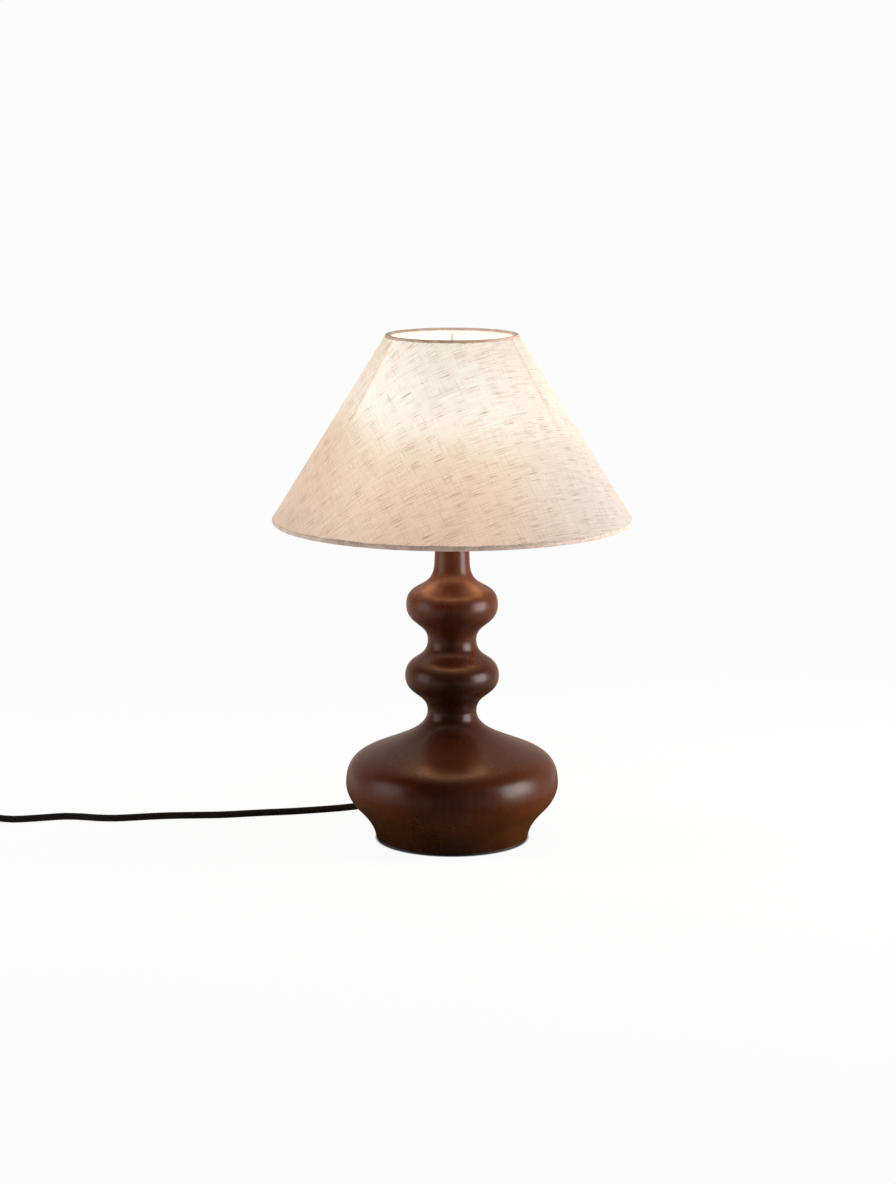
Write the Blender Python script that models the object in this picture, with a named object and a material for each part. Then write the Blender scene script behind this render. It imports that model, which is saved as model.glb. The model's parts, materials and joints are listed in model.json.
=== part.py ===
"""Turned wooden table lamp with a cone shade, a lampholder, a rocker switch on its lead and a plug.

Metres, +Z up. The origin is the centre of the base's underside. The front of the lamp faces -Y,
the lead leaves the base at the back and lies on the table to the lamp's left.
"""
import math

import bmesh
import bpy
from mathutils import Vector
from mathutils.geometry import interpolate_bezier

# Fits
SEAT_GAP = 0.0003
RUNNING_GAP = 0.00035
LAYER_GAP = 0.00015
CUT_OVERRUN = 0.002
MERGE_DISTANCE = 0.000001

# How round the pieces are
WOOD_SIDES = 36
SHADE_SIDES = 48
SHADE_TOP_SIDES = 36
DOME_SIDES = 24
HOLDER_SIDES = 24
SMALL_SIDES = 20
SCREW_SIDES = 12

# Turned base and stem: radii of the outline and the rise from one station to the next
FOOT_RADIUS = 0.0646
FOOT_EDGE_HEIGHT = 0.0030
FOOT_CHAMFER = 0.0006
FLARE_RADIUS = 0.0805
FLARE_RISE = 0.0250
CREST_RADIUS = 0.0897
CREST_RISE = 0.0194
SHOULDER_RADIUS = 0.0569
SHOULDER_RISE = 0.0343
LOWER_WAIST_RADIUS = 0.0206
LOWER_WAIST_RISE = 0.0284
LOWER_BEAD_RADIUS = 0.0395
LOWER_BEAD_RISE = 0.0297
UPPER_WAIST_RADIUS = 0.0204
UPPER_WAIST_RISE = 0.0311
UPPER_BEAD_RADIUS = 0.0385
UPPER_BEAD_RISE = 0.0298
NECK_RADIUS = 0.0148
NECK_RISE = 0.0369
NECK_LENGTH = 0.0243
NECK_CHAMFER = 0.0010

# Ways the outline runs through its stations, and how far each curve holds its way, as shares
FOOT_WAY_SHARES = (0.18, 1.0)
FLARE_WAY_SHARES = (1.01, 1.0)
UPRIGHT_WAY_SHARES = (0.0, 1.0)
SHOULDER_WAY_SHARES = (-1.0, 0.42)
BOWL_HOLD_SHARES = ((0.34, 0.31), (0.44, 0.20), (0.50, 0.45), (0.42, 0.30))
STEM_HOLD_SHARES = ((0.43, 0.44), (0.51, 0.49), (0.41, 0.48), (0.49, 0.61))
BOWL_STEPS = (4, 4, 7, 5)
STEM_STEPS = (6, 6, 6, 6)

# Inside the wood
TENON_RADIUS = 0.0100
TENON_LENGTH = 0.0180
BORE_RADIUS = 0.0053
RECESS_RADIUS = 0.0420
RECESS_DEPTH = 0.0161
FELT_THICKNESS = 0.0015
FELT_MARGIN = 0.0030

# Threaded tube that clamps base, stem and lampholder together
TUBE_RADIUS = 0.0050
TUBE_WALL = 0.0010
TUBE_ABOVE_NECK = 0.0070
TUBE_BELOW_NUT = 0.0020
TUBE_WASHER_RADIUS = 0.0110
TUBE_WASHER_THICKNESS = 0.0015
NUT_ACROSS_FLATS = 0.0140
NUT_THICKNESS = 0.0050
NUT_SIDES = 6

# Lead
CORD_RADIUS = 0.0030
CORD_POINT_SPACING = 0.0150
CORD_SIDES = 10
WIRE_SIDES = 8
LEAD_RADIUS = 0.0011
LEAD_OFFSET = 0.0014
LEAD_POINT_SPACING = 0.0045
LEAD_SAG = 0.0033
LEAD_TURN = 0.0070

# Bushing where the lead leaves the base
CORD_HOLE_HEIGHT = 0.0142
BUSHING_SEAT_Y = 0.0648
BUSHING_FLANGE_RADIUS = 0.0065
BUSHING_FLANGE_THICKNESS = 0.0015
BUSHING_SLEEVE_RADIUS = 0.0047
BUSHING_SLEEVE_LENGTH = 0.0120
BUSHING_TAIL_LENGTH = 0.0200
BUSHING_TAIL_END_RADIUS = 0.0042
BUSHING_POCKET_MARGIN = 0.0006

# Cord grip under the base
CLAMP_LENGTH = 0.0260
CLAMP_WIDTH = 0.0080
CLAMP_BAR_THICKNESS = 0.0030
CLAMP_Y = 0.0340
CLAMP_THROAT = 0.0014
CLAMP_SCREW_X = 0.0087
CLAMP_SCREW_RADIUS = 0.0015
CLAMP_SCREW_BITE = 0.0090
SCREW_HEAD_RADIUS = 0.0029
SCREW_HEAD_HEIGHT = 0.0020
CORD_PAST_CLAMP = 0.0045

# Lampholder, heights from the top of the neck
HOLDER_WASHER_RADIUS = 0.0120
HOLDER_WASHER_THICKNESS = 0.0012
CAP_RADIUS = 0.0140
CAP_HEIGHT = 0.0180
CAP_WALL = 0.0016
CAP_PLATE = 0.0025
CAP_CHAMFER = 0.0015
SKIRT_DEPTH = 0.0040
SHELL_BORE_RADIUS = 0.0109
SHELL_THREAD_RADIUS = 0.0137
SHELL_THREAD_LENGTH = 0.0280
SHELL_BODY_LENGTH = 0.0019
SHELL_CHAMFER = 0.0008
COLLAR_RADIUS = 0.0180
COLLAR_THICKNESS = 0.0030
INSERT_BASE_THICKNESS = 0.0080
LEDGE_HEIGHT = 0.0047
LEDGE_RADIUS = 0.0070
THREAD_SHELL_WALL = 0.0005
THREAD_SHELL_FLANGE = 0.0052
THREAD_SHELL_BELOW_CAP = 0.0010

# Contacts and terminals in the lampholder
CONTACT_THICKNESS = 0.0005
CONTACT_WIDTH = 0.0040
CONTACT_LEG_X = 0.0055
CONTACT_PLATE_END = 0.0100
TERMINAL_X = 0.0079
TERMINAL_HEAD_RADIUS = 0.0021
TERMINAL_HEAD_HEIGHT = 0.0018
TERMINAL_SHANK_RADIUS = 0.0012
TERMINAL_SHANK_LENGTH = 0.0050
INSERT_ABOVE_TUBE = 0.0062

# Bulb
BULB_CAP_RADIUS = 0.0069
BULB_CAP_LENGTH = 0.0180
BULB_CAP_CHAMFER = 0.0020
BULB_TIP_RADIUS = 0.0024
BULB_TIP_HEIGHT = 0.0022
BULB_TIP_CHAMFER = 0.0006
BULB_TIP_ABOVE_LEDGE = 0.0020
INSULATOR_HEIGHT = 0.0028
INSULATOR_TOP_RADIUS = 0.0058
BULB_NECK_LENGTH = 0.0230
BULB_NECK_RADIUS = 0.0180
BULB_NECK_START_RADIUS = 0.0072
BULB_NECK_HOLD_SHARES = (0.35, 0.35)
BULB_NECK_STEPS = 5
DOME_RADIUS = 0.0225
DOME_WALL = 0.0010
DOME_STEPS = 8
LED_BOARD_RADIUS = 0.0140
LED_BOARD_THICKNESS = 0.0016

# Shade ring that clamps the shade's gallery on the lampholder
GALLERY_THICKNESS = 0.0015
GALLERY_RADIUS = 0.0220
SHADE_RING_HEIGHT = 0.0070
SHADE_RING_RADIUS = 0.0178
SHADE_RING_RIB_DEPTH = 0.0010
SHADE_RING_RIBS = 24

# Shade frame: ring wires, ribs and arms
SHADE_BOTTOM_RADIUS = 0.1474
SHADE_TOP_RADIUS = 0.0528
SHADE_HEIGHT = 0.1525
SHADE_BOTTOM_BELOW_GALLERY = 0.0143
WIRE_RADIUS = 0.00125
RING_WIRE_SIDES = 6
RIB_COUNT = 3
RIB_START_ANGLE = math.radians(90)
ARM_RADIUS = 0.0015
ARM_UP_RIB = 0.0095

# Shade cover
LINER_THICKNESS = 0.0003
FABRIC_THICKNESS = 0.0005
BOTTOM_HEM_RADIUS = 0.0026
BOTTOM_HEM_REACH = 0.0026
TOP_HEM_RADIUS = 0.0025
TOP_HEM_REACH = 0.0014
HEM_INNER_REACH = 0.0030
HEM_FOLD_STEPS = 3

# Rocker switch on the lead, heights from the table
SWITCH_LENGTH = 0.0620
SWITCH_WIDTH = 0.0270
SWITCH_HEIGHT = 0.0170
SWITCH_SPLIT_HEIGHT = 0.0075
SWITCH_END_WIDTH_SHARE = 0.46
SWITCH_WAIST_POWER_SHARE = 3.2
SWITCH_OUTLINE_STEPS = 10
SWITCH_EDGE = 0.0014
SWITCH_CROWN = 0.0034
SWITCH_CROWN_HEIGHT = 0.0030
SWITCH_CROWN_SHARES = ((0.0, 0.0), (0.12, 0.45), (0.42, 0.82), (1.0, 1.0))
SWITCH_WEB = 0.0026
SWITCH_POCKET_LENGTH = 0.0480
SWITCH_POCKET_WIDTH = 0.0112
SWITCH_FLOOR = 0.0020
SWITCH_POCKET_HEADROOM = 0.0042
SWITCH_SCREW_X = 0.0160
SWITCH_SCREW_Y = 0.0090
SWITCH_SCREW_RADIUS = 0.0012
SWITCH_SCREW_LENGTH = 0.0110
SWITCH_SCREW_HEAD_RADIUS = 0.0023
SWITCH_SCREW_HEAD_HEIGHT = 0.0014
SWITCH_SCREW_SINK = 0.0012
ROCKER_WIDTH = 0.0100
ROCKER_SWEEP = 0.0115
ROCKER_PIVOT_BELOW_TOP = 0.0070
ROCKER_TILT = math.radians(8)
ROCKER_TOP_ANGLE = math.radians(50)
ROCKER_LOW_ANGLE = math.radians(36)
ROCKER_ARC_STEPS = 3
ROCKER_HUB_HALF_WIDTH = 0.0026
ROCKER_HUB_DEPTH = 0.0040
ROCKER_HIP_HALF_WIDTH = 0.0042
ROCKER_PIN_RADIUS = 0.0015
ROCKER_PIN_REACH = 0.0030
BRIDGE_LENGTH = 0.0120
BRIDGE_WIDTH = 0.0040
BRIDGE_THICKNESS = 0.0010
SWITCH_STRIP_THICKNESS = 0.0008
SWITCH_STRIP_WIDTH = 0.0040
SWITCH_TAB_X = 0.0220
SWITCH_TAB_HEIGHT = 0.0090
SWITCH_CONTACT_X = 0.0048

# Flat two-pin plug
PLUG_WIDTH = 0.0260
PLUG_THICKNESS = 0.0135
PLUG_LENGTH = 0.0350
PLUG_RELIEF_LENGTH = 0.0220
PLUG_RELIEF_END_RADIUS = 0.0042
PLUG_RELIEF_ROOT_RADIUS = 0.0056
PLUG_FACE_WIDTH_SHARE = 0.93
PLUG_FACE_CHAMFER = 0.0012
PLUG_SECTION_SIDES = 20
PLUG_ROUND_POWER_SHARE = 2.0
PLUG_SHOULDER_POWER_SHARE = 3.0
PLUG_BLOCK_POWER_SHARE = 4.5
PLUG_SHOULDER_SHARES = (0.20, 0.45)
PIN_RADIUS = 0.0020
PIN_LENGTH = 0.0190
PIN_SPACING = 0.0186
PIN_ROOT = 0.0060
PIN_CHAMFER = 0.0008

# Coil of the spare lead
COIL_RADIUS = 0.0420
COIL_PITCH = 0.0066
COIL_TURNS_PER_LAYER = 2.5
COIL_CLIMB_TURNS = 0.5
COIL_POINTS_PER_TURN = 24
COIL_SIDES = 6
COIL_LIFT = 0.0010
TIE_WIDTH = 0.0100
TIE_THICKNESS = 0.0006
TIE_SLACK = 0.0008
TIE_CORNER_RADIUS = 0.0033
TIE_CORNER_STEPS = 3

# Places of the pieces on the lead
SWITCH_PLACE = Vector((-0.4460, 0.0445, 0.0))
COIL_CENTRE_X = -0.5410
TAIL_LENGTH = 0.0500
TAIL_FALL_SHARES = ((0.14, 1.0), (0.32, 0.66), (0.50, 0.10), (0.66, -0.20), (0.82, -0.10), (0.92, 0.0))

# Route of the lead on the table, from behind the base to the switch
CORD_RUN_ROUTE = (
    (-0.0015, 0.0990, 0.0137), (-0.0080, 0.1080, 0.0115), (-0.0190, 0.1145, 0.0075),
    (-0.0330, 0.1160, 0.0044), (-0.0480, 0.1110, 0.0032), (-0.0620, 0.1030, 0.0030),
    (-0.0750, 0.0950, 0.0030), (-0.0880, 0.0875, 0.0030), (-0.1020, 0.0820, 0.0030),
    (-0.1230, 0.0760, 0.0030), (-0.1430, 0.0710, 0.0030), (-0.1640, 0.0675, 0.0030),
    (-0.1850, 0.0630, 0.0030), (-0.2050, 0.0595, 0.0030), (-0.2260, 0.0585, 0.0030),
    (-0.2460, 0.0570, 0.0030), (-0.2670, 0.0535, 0.0030), (-0.2870, 0.0490, 0.0030),
    (-0.3030, 0.0490, 0.0030), (-0.3190, 0.0530, 0.0030), (-0.3350, 0.0550, 0.0030),
    (-0.3500, 0.0515, 0.0030), (-0.3690, 0.0465, 0.0030), (-0.3830, 0.0447, 0.0030),
    (-0.3900, 0.0445, 0.0035), (-0.3967, 0.0445, 0.0052), (-0.4034, 0.0445, 0.0070),
)
CORD_LINK_ROUTE = (
    (-0.4890, 0.0445, 0.0070), (-0.4955, 0.0445, 0.0056), (-0.5020, 0.0445, 0.0044),
    (-0.5090, 0.0445, 0.0040), (-0.5200, 0.0445, 0.0040),
)

# Colour, roughness and metallic value of each material
FINISHES = {
    "dark_wood": ((0.072, 0.021, 0.009), 0.38, 0.0),
    "felt": ((0.012, 0.012, 0.013), 0.95, 0.0),
    "zinc_steel": ((0.56, 0.57, 0.58), 0.35, 1.0),
    "brass": ((0.72, 0.52, 0.22), 0.32, 1.0),
    "black_plastic": ((0.014, 0.014, 0.015), 0.45, 0.0),
    "white_plastic": ((0.80, 0.79, 0.76), 0.42, 0.0),
    "textile_cord": ((0.013, 0.011, 0.009), 0.85, 0.0),
    "lead_brown": ((0.16, 0.06, 0.02), 0.50, 0.0),
    "lead_blue": ((0.03, 0.12, 0.42), 0.50, 0.0),
    "linen": ((0.78, 0.66, 0.55), 0.90, 0.0),
    "liner": ((0.85, 0.82, 0.76), 0.60, 0.0),
    "hem": ((0.36, 0.28, 0.24), 0.90, 0.0),
    "coated_wire": ((0.80, 0.80, 0.78), 0.40, 0.0),
    "opal_dome": ((0.90, 0.88, 0.82), 0.30, 0.0),
    "board": ((0.75, 0.76, 0.72), 0.50, 0.0),
}


def clear_scene():
    """Take out whatever the scene holds."""
    for thing in list(bpy.data.objects):
        bpy.data.objects.remove(thing, do_unlink=True)


def finish_material(name):
    """The named material, made on first use."""
    material = bpy.data.materials.get(name)
    if material is None:
        colour, roughness, metallic = FINISHES[name]
        material = bpy.data.materials.new(name)
        material.use_nodes = True
        shader = material.node_tree.nodes["Principled BSDF"]
        shader.inputs["Base Color"].default_value = (*colour, 1.0)
        shader.inputs["Roughness"].default_value = roughness
        shader.inputs["Metallic"].default_value = metallic
    return material


def place(name, data, finish, parent=None):
    """Put mesh or curve data in the scene as one named piece."""
    piece = bpy.data.objects.new(name, data)
    bpy.context.scene.collection.objects.link(piece)
    piece.parent = parent
    if finish:
        data.materials.append(finish_material(finish))
    return piece


def pivot(name, location):
    """An empty that pieces are placed from."""
    empty = bpy.data.objects.new(name, None)
    empty.location = location
    bpy.context.scene.collection.objects.link(empty)
    return empty


def mesh_from(bm, name):
    """Close a bmesh into mesh data with outward faces and sharp edges kept."""
    bmesh.ops.remove_doubles(bm, verts=bm.verts, dist=MERGE_DISTANCE)
    bmesh.ops.recalc_face_normals(bm, faces=bm.faces)
    mesh = bpy.data.meshes.new(name)
    bm.to_mesh(mesh)
    bm.free()
    mesh.shade_smooth()
    mesh.set_sharp_from_angle(angle=math.radians(35))
    return mesh


def turned(name, outline, finish, parent=None, sides=SMALL_SIDES, closed=True):
    """A piece turned about Z. An outline that isn't closed starts and ends on the axis."""
    bm = bmesh.new()
    verts = [bm.verts.new((radius, 0, height)) for radius, height in outline]
    ends = verts[1:] + verts[:1] if closed else verts[1:]
    edges = [bm.edges.new(pair) for pair in zip(verts, ends)]
    bmesh.ops.spin(bm, geom=verts + edges, cent=(0, 0, 0), axis=(0, 0, 1), dvec=(0, 0, 0),
                   angle=math.tau, steps=sides, use_merge=True)
    return place(name, mesh_from(bm, name), finish, parent)


def lofted(name, loops, finish, parent=None):
    """A solid through loops of points that lie one beyond the other."""
    bm = bmesh.new()
    rings = [[bm.verts.new(point) for point in loop] for loop in loops]
    for near, far in zip(rings, rings[1:]):
        for index in range(len(near)):
            after = (index + 1) % len(near)
            bm.faces.new((near[index], near[after], far[after], far[index]))
    bm.faces.new(reversed(rings[0]))
    bm.faces.new(rings[-1])
    return place(name, mesh_from(bm, name), finish, parent)


def extruded(name, outline, width, finish, parent=None):
    """An outline of (x, z) points given a width, half to each side of the XZ plane."""
    loops = [[(x, side * width / 2, z) for x, z in outline] for side in (-1, 1)]
    return lofted(name, loops, finish, parent)


def block(name, low, high, finish=None, parent=None):
    """A box between two corners."""
    loops = [[(low[0], low[1], z), (high[0], low[1], z), (high[0], high[1], z), (low[0], high[1], z)]
             for z in (low[2], high[2])]
    return lofted(name, loops, finish, parent)


def rod_outline(radius, low, high, chamfer=0.0):
    """Outline of a plain rod about Z, with a chamfer at its upper end."""
    return [(0, low), (radius, low), (radius, high - chamfer), (radius - chamfer, high), (0, high)]


def plain_rod(name, radius, low, high, finish=None, parent=None, sides=SMALL_SIDES):
    """A rod about Z."""
    outline = [(0, low), (radius, low), (radius, high), (0, high)]
    return turned(name, outline, finish, parent, sides, closed=False)


def apply_cut(piece, cutter, operation="DIFFERENCE"):
    """Cut a piece with a hidden cutter, or join the hidden shape to it."""
    cutter.hide_render = True
    cutter.display_type = "WIRE"
    modifier = piece.modifiers.new(cutter.name, "BOOLEAN")
    modifier.operation = operation
    modifier.solver = "EXACT"
    modifier.object = cutter


def lay_along_y(piece):
    """Turn a piece that was made about Z so that its upper end points to +Y."""
    piece.rotation_euler = (math.radians(-90), 0, 0)


def tube(name, points, radius, sides, finish, parent=None):
    """A round wire or cord along points, with flat ends."""
    curve = bpy.data.curves.new(name, "CURVE")
    curve.dimensions = "3D"
    curve.bevel_depth = radius
    curve.bevel_resolution = sides // 2 - 2
    curve.use_fill_caps = True
    spline = curve.splines.new("POLY")
    spline.points.add(len(points) - 1)
    for target, point in zip(spline.points, points):
        target.co = (*point, 1.0)
    spline.use_smooth = True
    return place(name, curve, finish, parent)


def smooth_route(knots, spacing, straight_ends=False):
    """Evenly spaced points read from a smooth curve through the knots, with straight ends if asked."""
    knots = [Vector(knot) for knot in knots]
    ahead = knots[1:] + [knots[-1] * 2 - knots[-2]]
    behind = [knots[0] * 2 - knots[1]] + knots[:-1]
    ways = [(after - before).normalized() for before, after in zip(behind, ahead)]
    first, last = knots[:1], knots[-1:]
    if straight_ends:
        ways = [(knots[1] - knots[0]).normalized()] + ways[2:-2] + [(knots[-1] - knots[-2]).normalized()]
        knots = knots[1:-1]
    fine = [knots[0]]
    for start, end, start_way, end_way in zip(knots, knots[1:], ways, ways[1:]):
        third = (end - start).length / 3
        fine += interpolate_bezier(start, start + start_way * third, end - end_way * third, end, 25)[1:]
    lengths = [0.0]
    for start, end in zip(fine, fine[1:]):
        lengths.append(lengths[-1] + (end - start).length)
    count = max(2, round(lengths[-1] / spacing))
    points = []
    index = 0
    for step in range(count + 1):
        wanted = lengths[-1] * step / count
        while index < len(fine) - 2 and lengths[index + 1] < wanted:
            index += 1
        share = (wanted - lengths[index]) / (lengths[index + 1] - lengths[index])
        points.append(fine[index].lerp(fine[index + 1], min(share, 1.0)))
    return first + points + last if straight_ends else points


def strip_outline(path, thickness):
    """Outline of a bent metal strip of one thickness, from the (x, z) points of its middle."""
    path = [Vector(point) for point in path]
    sides = ([], [])
    for index, point in enumerate(path):
        before = (point - path[index - 1]).normalized() if index else None
        after = (path[index + 1] - point).normalized() if index < len(path) - 1 else None
        before = before or after
        after = after or before
        mitre = (before + after).normalized()
        across = Vector((-mitre.y, mitre.x)) * (thickness / 2 / mitre.dot(before))
        sides[0].append(point + across)
        sides[1].append(point - across)
    return [tuple(point) for point in sides[0] + sides[1][::-1]]


def flowing(start, start_way, end, end_way, holds, steps):
    """One smooth stretch of a turned outline, without its first point."""
    start = Vector(start)
    end = Vector(end)
    chord = (end - start).length
    leaving = start + Vector(start_way).normalized() * chord * holds[0]
    arriving = end - Vector(end_way).normalized() * chord * holds[1]
    curve = interpolate_bezier(start.to_3d(), leaving.to_3d(), arriving.to_3d(), end.to_3d(), steps + 1)
    return [(point.x, point.y) for point in curve[1:]]


def wood_bottom():
    """Height of the wood's underside, on its felt."""
    return FELT_THICKNESS + SEAT_GAP


def recess_ceiling():
    """Height of the flat ceiling of the recess under the base."""
    return wood_bottom() + RECESS_DEPTH


def wood_stations():
    """Radius, height and way of the outline at each station, from the foot to the neck."""
    rises = (
        (FOOT_RADIUS, FOOT_EDGE_HEIGHT, FOOT_WAY_SHARES),
        (FLARE_RADIUS, FLARE_RISE, FLARE_WAY_SHARES),
        (CREST_RADIUS, CREST_RISE, UPRIGHT_WAY_SHARES),
        (SHOULDER_RADIUS, SHOULDER_RISE, SHOULDER_WAY_SHARES),
        (LOWER_WAIST_RADIUS, LOWER_WAIST_RISE, UPRIGHT_WAY_SHARES),
        (LOWER_BEAD_RADIUS, LOWER_BEAD_RISE, UPRIGHT_WAY_SHARES),
        (UPPER_WAIST_RADIUS, UPPER_WAIST_RISE, UPRIGHT_WAY_SHARES),
        (UPPER_BEAD_RADIUS, UPPER_BEAD_RISE, UPRIGHT_WAY_SHARES),
        (NECK_RADIUS, NECK_RISE, UPRIGHT_WAY_SHARES),
    )
    stations = []
    height = 0.0
    for radius, rise, way in rises:
        height += rise
        stations.append(((radius, height), way))
    return stations


def wood_curve(stations, holds, steps):
    """The outline through neighbouring stations."""
    points = [stations[0][0]]
    for (start, start_way), (end, end_way), hold, count in zip(stations, stations[1:], holds, steps):
        points += flowing(start, start_way, end, end_way, hold, count)
    return points


STATIONS = wood_stations()
BOWL_STATIONS = STATIONS[:5]
STEM_STATIONS = STATIONS[4:]
WAIST_HEIGHT = BOWL_STATIONS[-1][0][1]
NECK_TOP = STEM_STATIONS[-1][0][1] + NECK_LENGTH


def make_base():
    """Bowl and stem, joined by a tenon, with the felt under the foot."""
    socket_radius = TENON_RADIUS + SEAT_GAP
    socket_floor = WAIST_HEIGHT - TENON_LENGTH - SEAT_GAP
    bottom = wood_bottom()
    bowl_outline = [(FOOT_RADIUS - FOOT_CHAMFER, bottom)]
    bowl_outline += wood_curve(BOWL_STATIONS, BOWL_HOLD_SHARES, BOWL_STEPS)
    bowl_outline += [(socket_radius, WAIST_HEIGHT), (socket_radius, socket_floor),
                     (BORE_RADIUS, socket_floor), (BORE_RADIUS, recess_ceiling()),
                     (RECESS_RADIUS, recess_ceiling()), (RECESS_RADIUS, bottom)]
    bowl = turned("wood_bowl", bowl_outline, "dark_wood", sides=WOOD_SIDES)

    stem_curve = wood_curve(STEM_STATIONS, STEM_HOLD_SHARES, STEM_STEPS)
    seat = WAIST_HEIGHT + SEAT_GAP
    stem_outline = [(BORE_RADIUS, WAIST_HEIGHT - TENON_LENGTH), (TENON_RADIUS, WAIST_HEIGHT - TENON_LENGTH),
                    (TENON_RADIUS, seat), (LOWER_WAIST_RADIUS, seat)]
    stem_outline += stem_curve[1:]
    stem_outline += [(NECK_RADIUS, NECK_TOP - NECK_CHAMFER), (NECK_RADIUS - NECK_CHAMFER, NECK_TOP),
                     (BORE_RADIUS, NECK_TOP)]
    turned("wood_stem", stem_outline, "dark_wood", sides=WOOD_SIDES)

    felt_radius = FOOT_RADIUS - FELT_MARGIN
    plain_rod("felt_pad", felt_radius, 0, FELT_THICKNESS, "felt", sides=WOOD_SIDES)
    return bowl


def make_tube():
    """The threaded tube with its washer and nut under the base."""
    washer_top = recess_ceiling() - SEAT_GAP
    washer_bottom = washer_top - TUBE_WASHER_THICKNESS
    nut_top = washer_bottom - SEAT_GAP
    nut_bottom = nut_top - NUT_THICKNESS
    tube_bottom = nut_bottom - TUBE_BELOW_NUT
    tube_top = NECK_TOP + TUBE_ABOVE_NECK
    inner = TUBE_RADIUS - TUBE_WALL
    turned("threaded_tube", [(inner, tube_bottom), (TUBE_RADIUS, tube_bottom), (TUBE_RADIUS, tube_top),
                             (inner, tube_top)], "zinc_steel")
    hole = TUBE_RADIUS + SEAT_GAP
    turned("tube_washer", [(hole, washer_bottom), (TUBE_WASHER_RADIUS, washer_bottom),
                           (TUBE_WASHER_RADIUS, washer_top), (hole, washer_top)], "zinc_steel")
    corner = NUT_ACROSS_FLATS / 2 / math.cos(math.pi / NUT_SIDES)
    nut = plain_rod("tube_nut", corner, nut_bottom, nut_top, "zinc_steel", sides=NUT_SIDES)
    nut_bore = plain_rod("nut_bore_cutter", hole, nut_bottom - CUT_OVERRUN, nut_top + CUT_OVERRUN)
    apply_cut(nut, nut_bore)
    return tube_bottom, tube_top


def bushing_end():
    """How far back the bushing's tail reaches."""
    return BUSHING_SEAT_Y + SEAT_GAP + BUSHING_FLANGE_THICKNESS + BUSHING_TAIL_LENGTH


def make_cord_exit(bowl):
    """The bushing in the back of the base, in its stepped hole."""
    bore = CORD_RADIUS + SEAT_GAP
    sleeve_hole = BUSHING_SLEEVE_RADIUS + SEAT_GAP
    pocket = BUSHING_FLANGE_RADIUS + BUSHING_POCKET_MARGIN
    sleeve_floor = BUSHING_SEAT_Y - BUSHING_SLEEVE_LENGTH
    outside = CREST_RADIUS + CUT_OVERRUN
    hole = turned("cord_hole_cutter", [
        (0, RECESS_RADIUS - CUT_OVERRUN), (bore, RECESS_RADIUS - CUT_OVERRUN), (bore, sleeve_floor),
        (sleeve_hole, sleeve_floor), (sleeve_hole, BUSHING_SEAT_Y), (pocket, BUSHING_SEAT_Y),
        (pocket, outside), (0, outside)], None, closed=False)
    hole.location.z = CORD_HOLE_HEIGHT
    lay_along_y(hole)
    apply_cut(bowl, hole)

    flange_inner = BUSHING_SEAT_Y + SEAT_GAP
    flange_outer = flange_inner + BUSHING_FLANGE_THICKNESS
    sleeve_end = flange_inner - BUSHING_SLEEVE_LENGTH
    bushing = turned("cord_bushing", [
        (bore, sleeve_end), (BUSHING_SLEEVE_RADIUS, sleeve_end),
        (BUSHING_SLEEVE_RADIUS, flange_inner), (BUSHING_FLANGE_RADIUS, flange_inner),
        (BUSHING_FLANGE_RADIUS, flange_outer), (BUSHING_SLEEVE_RADIUS, flange_outer),
        (BUSHING_TAIL_END_RADIUS, bushing_end()), (bore, bushing_end())], "black_plastic")
    bushing.location.z = CORD_HOLE_HEIGHT
    lay_along_y(bushing)


def make_cord_grip(bowl):
    """The saddle that holds the lead up under the base, with its two wood screws."""
    leg_top = recess_ceiling() - SEAT_GAP
    bar_top = CORD_HOLE_HEIGHT - CORD_RADIUS - SEAT_GAP
    bar_bottom = bar_top - CLAMP_BAR_THICKNESS
    throat = CORD_RADIUS + CLAMP_THROAT
    half = CLAMP_LENGTH / 2
    clamp = extruded("cord_clamp", [
        (-half, bar_bottom), (half, bar_bottom), (half, leg_top), (throat, leg_top), (throat, bar_top),
        (-throat, bar_top), (-throat, leg_top), (-half, leg_top)], CLAMP_WIDTH, "black_plastic")
    clamp.location.y = CLAMP_Y

    hole_radius = CLAMP_SCREW_RADIUS + SEAT_GAP
    screw_top = recess_ceiling() + CLAMP_SCREW_BITE
    head_top = bar_bottom - SEAT_GAP
    head_bottom = head_top - SCREW_HEAD_HEIGHT
    for side, word in ((-1, "left"), (1, "right")):
        spot = (side * CLAMP_SCREW_X, CLAMP_Y, 0)
        cutter = plain_rod(f"clamp_hole_cutter_{word}", hole_radius, bar_bottom - CUT_OVERRUN,
                           screw_top + SEAT_GAP, sides=SCREW_SIDES)
        cutter.location = spot
        apply_cut(bowl, cutter)
        apply_cut(clamp, cutter)
        screw = turned(f"clamp_screw_{word}", [
            (0, head_bottom), (SCREW_HEAD_RADIUS, head_bottom), (SCREW_HEAD_RADIUS, head_top),
            (CLAMP_SCREW_RADIUS, head_top), (CLAMP_SCREW_RADIUS, screw_top - CLAMP_SCREW_RADIUS),
            (0, screw_top)], "zinc_steel", sides=SCREW_SIDES, closed=False)
        screw.location = spot


def cord_inner_front():
    """Where the lead's sheath ends under the base, past the grip."""
    return CLAMP_Y - CLAMP_WIDTH / 2 - CORD_PAST_CLAMP


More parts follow.
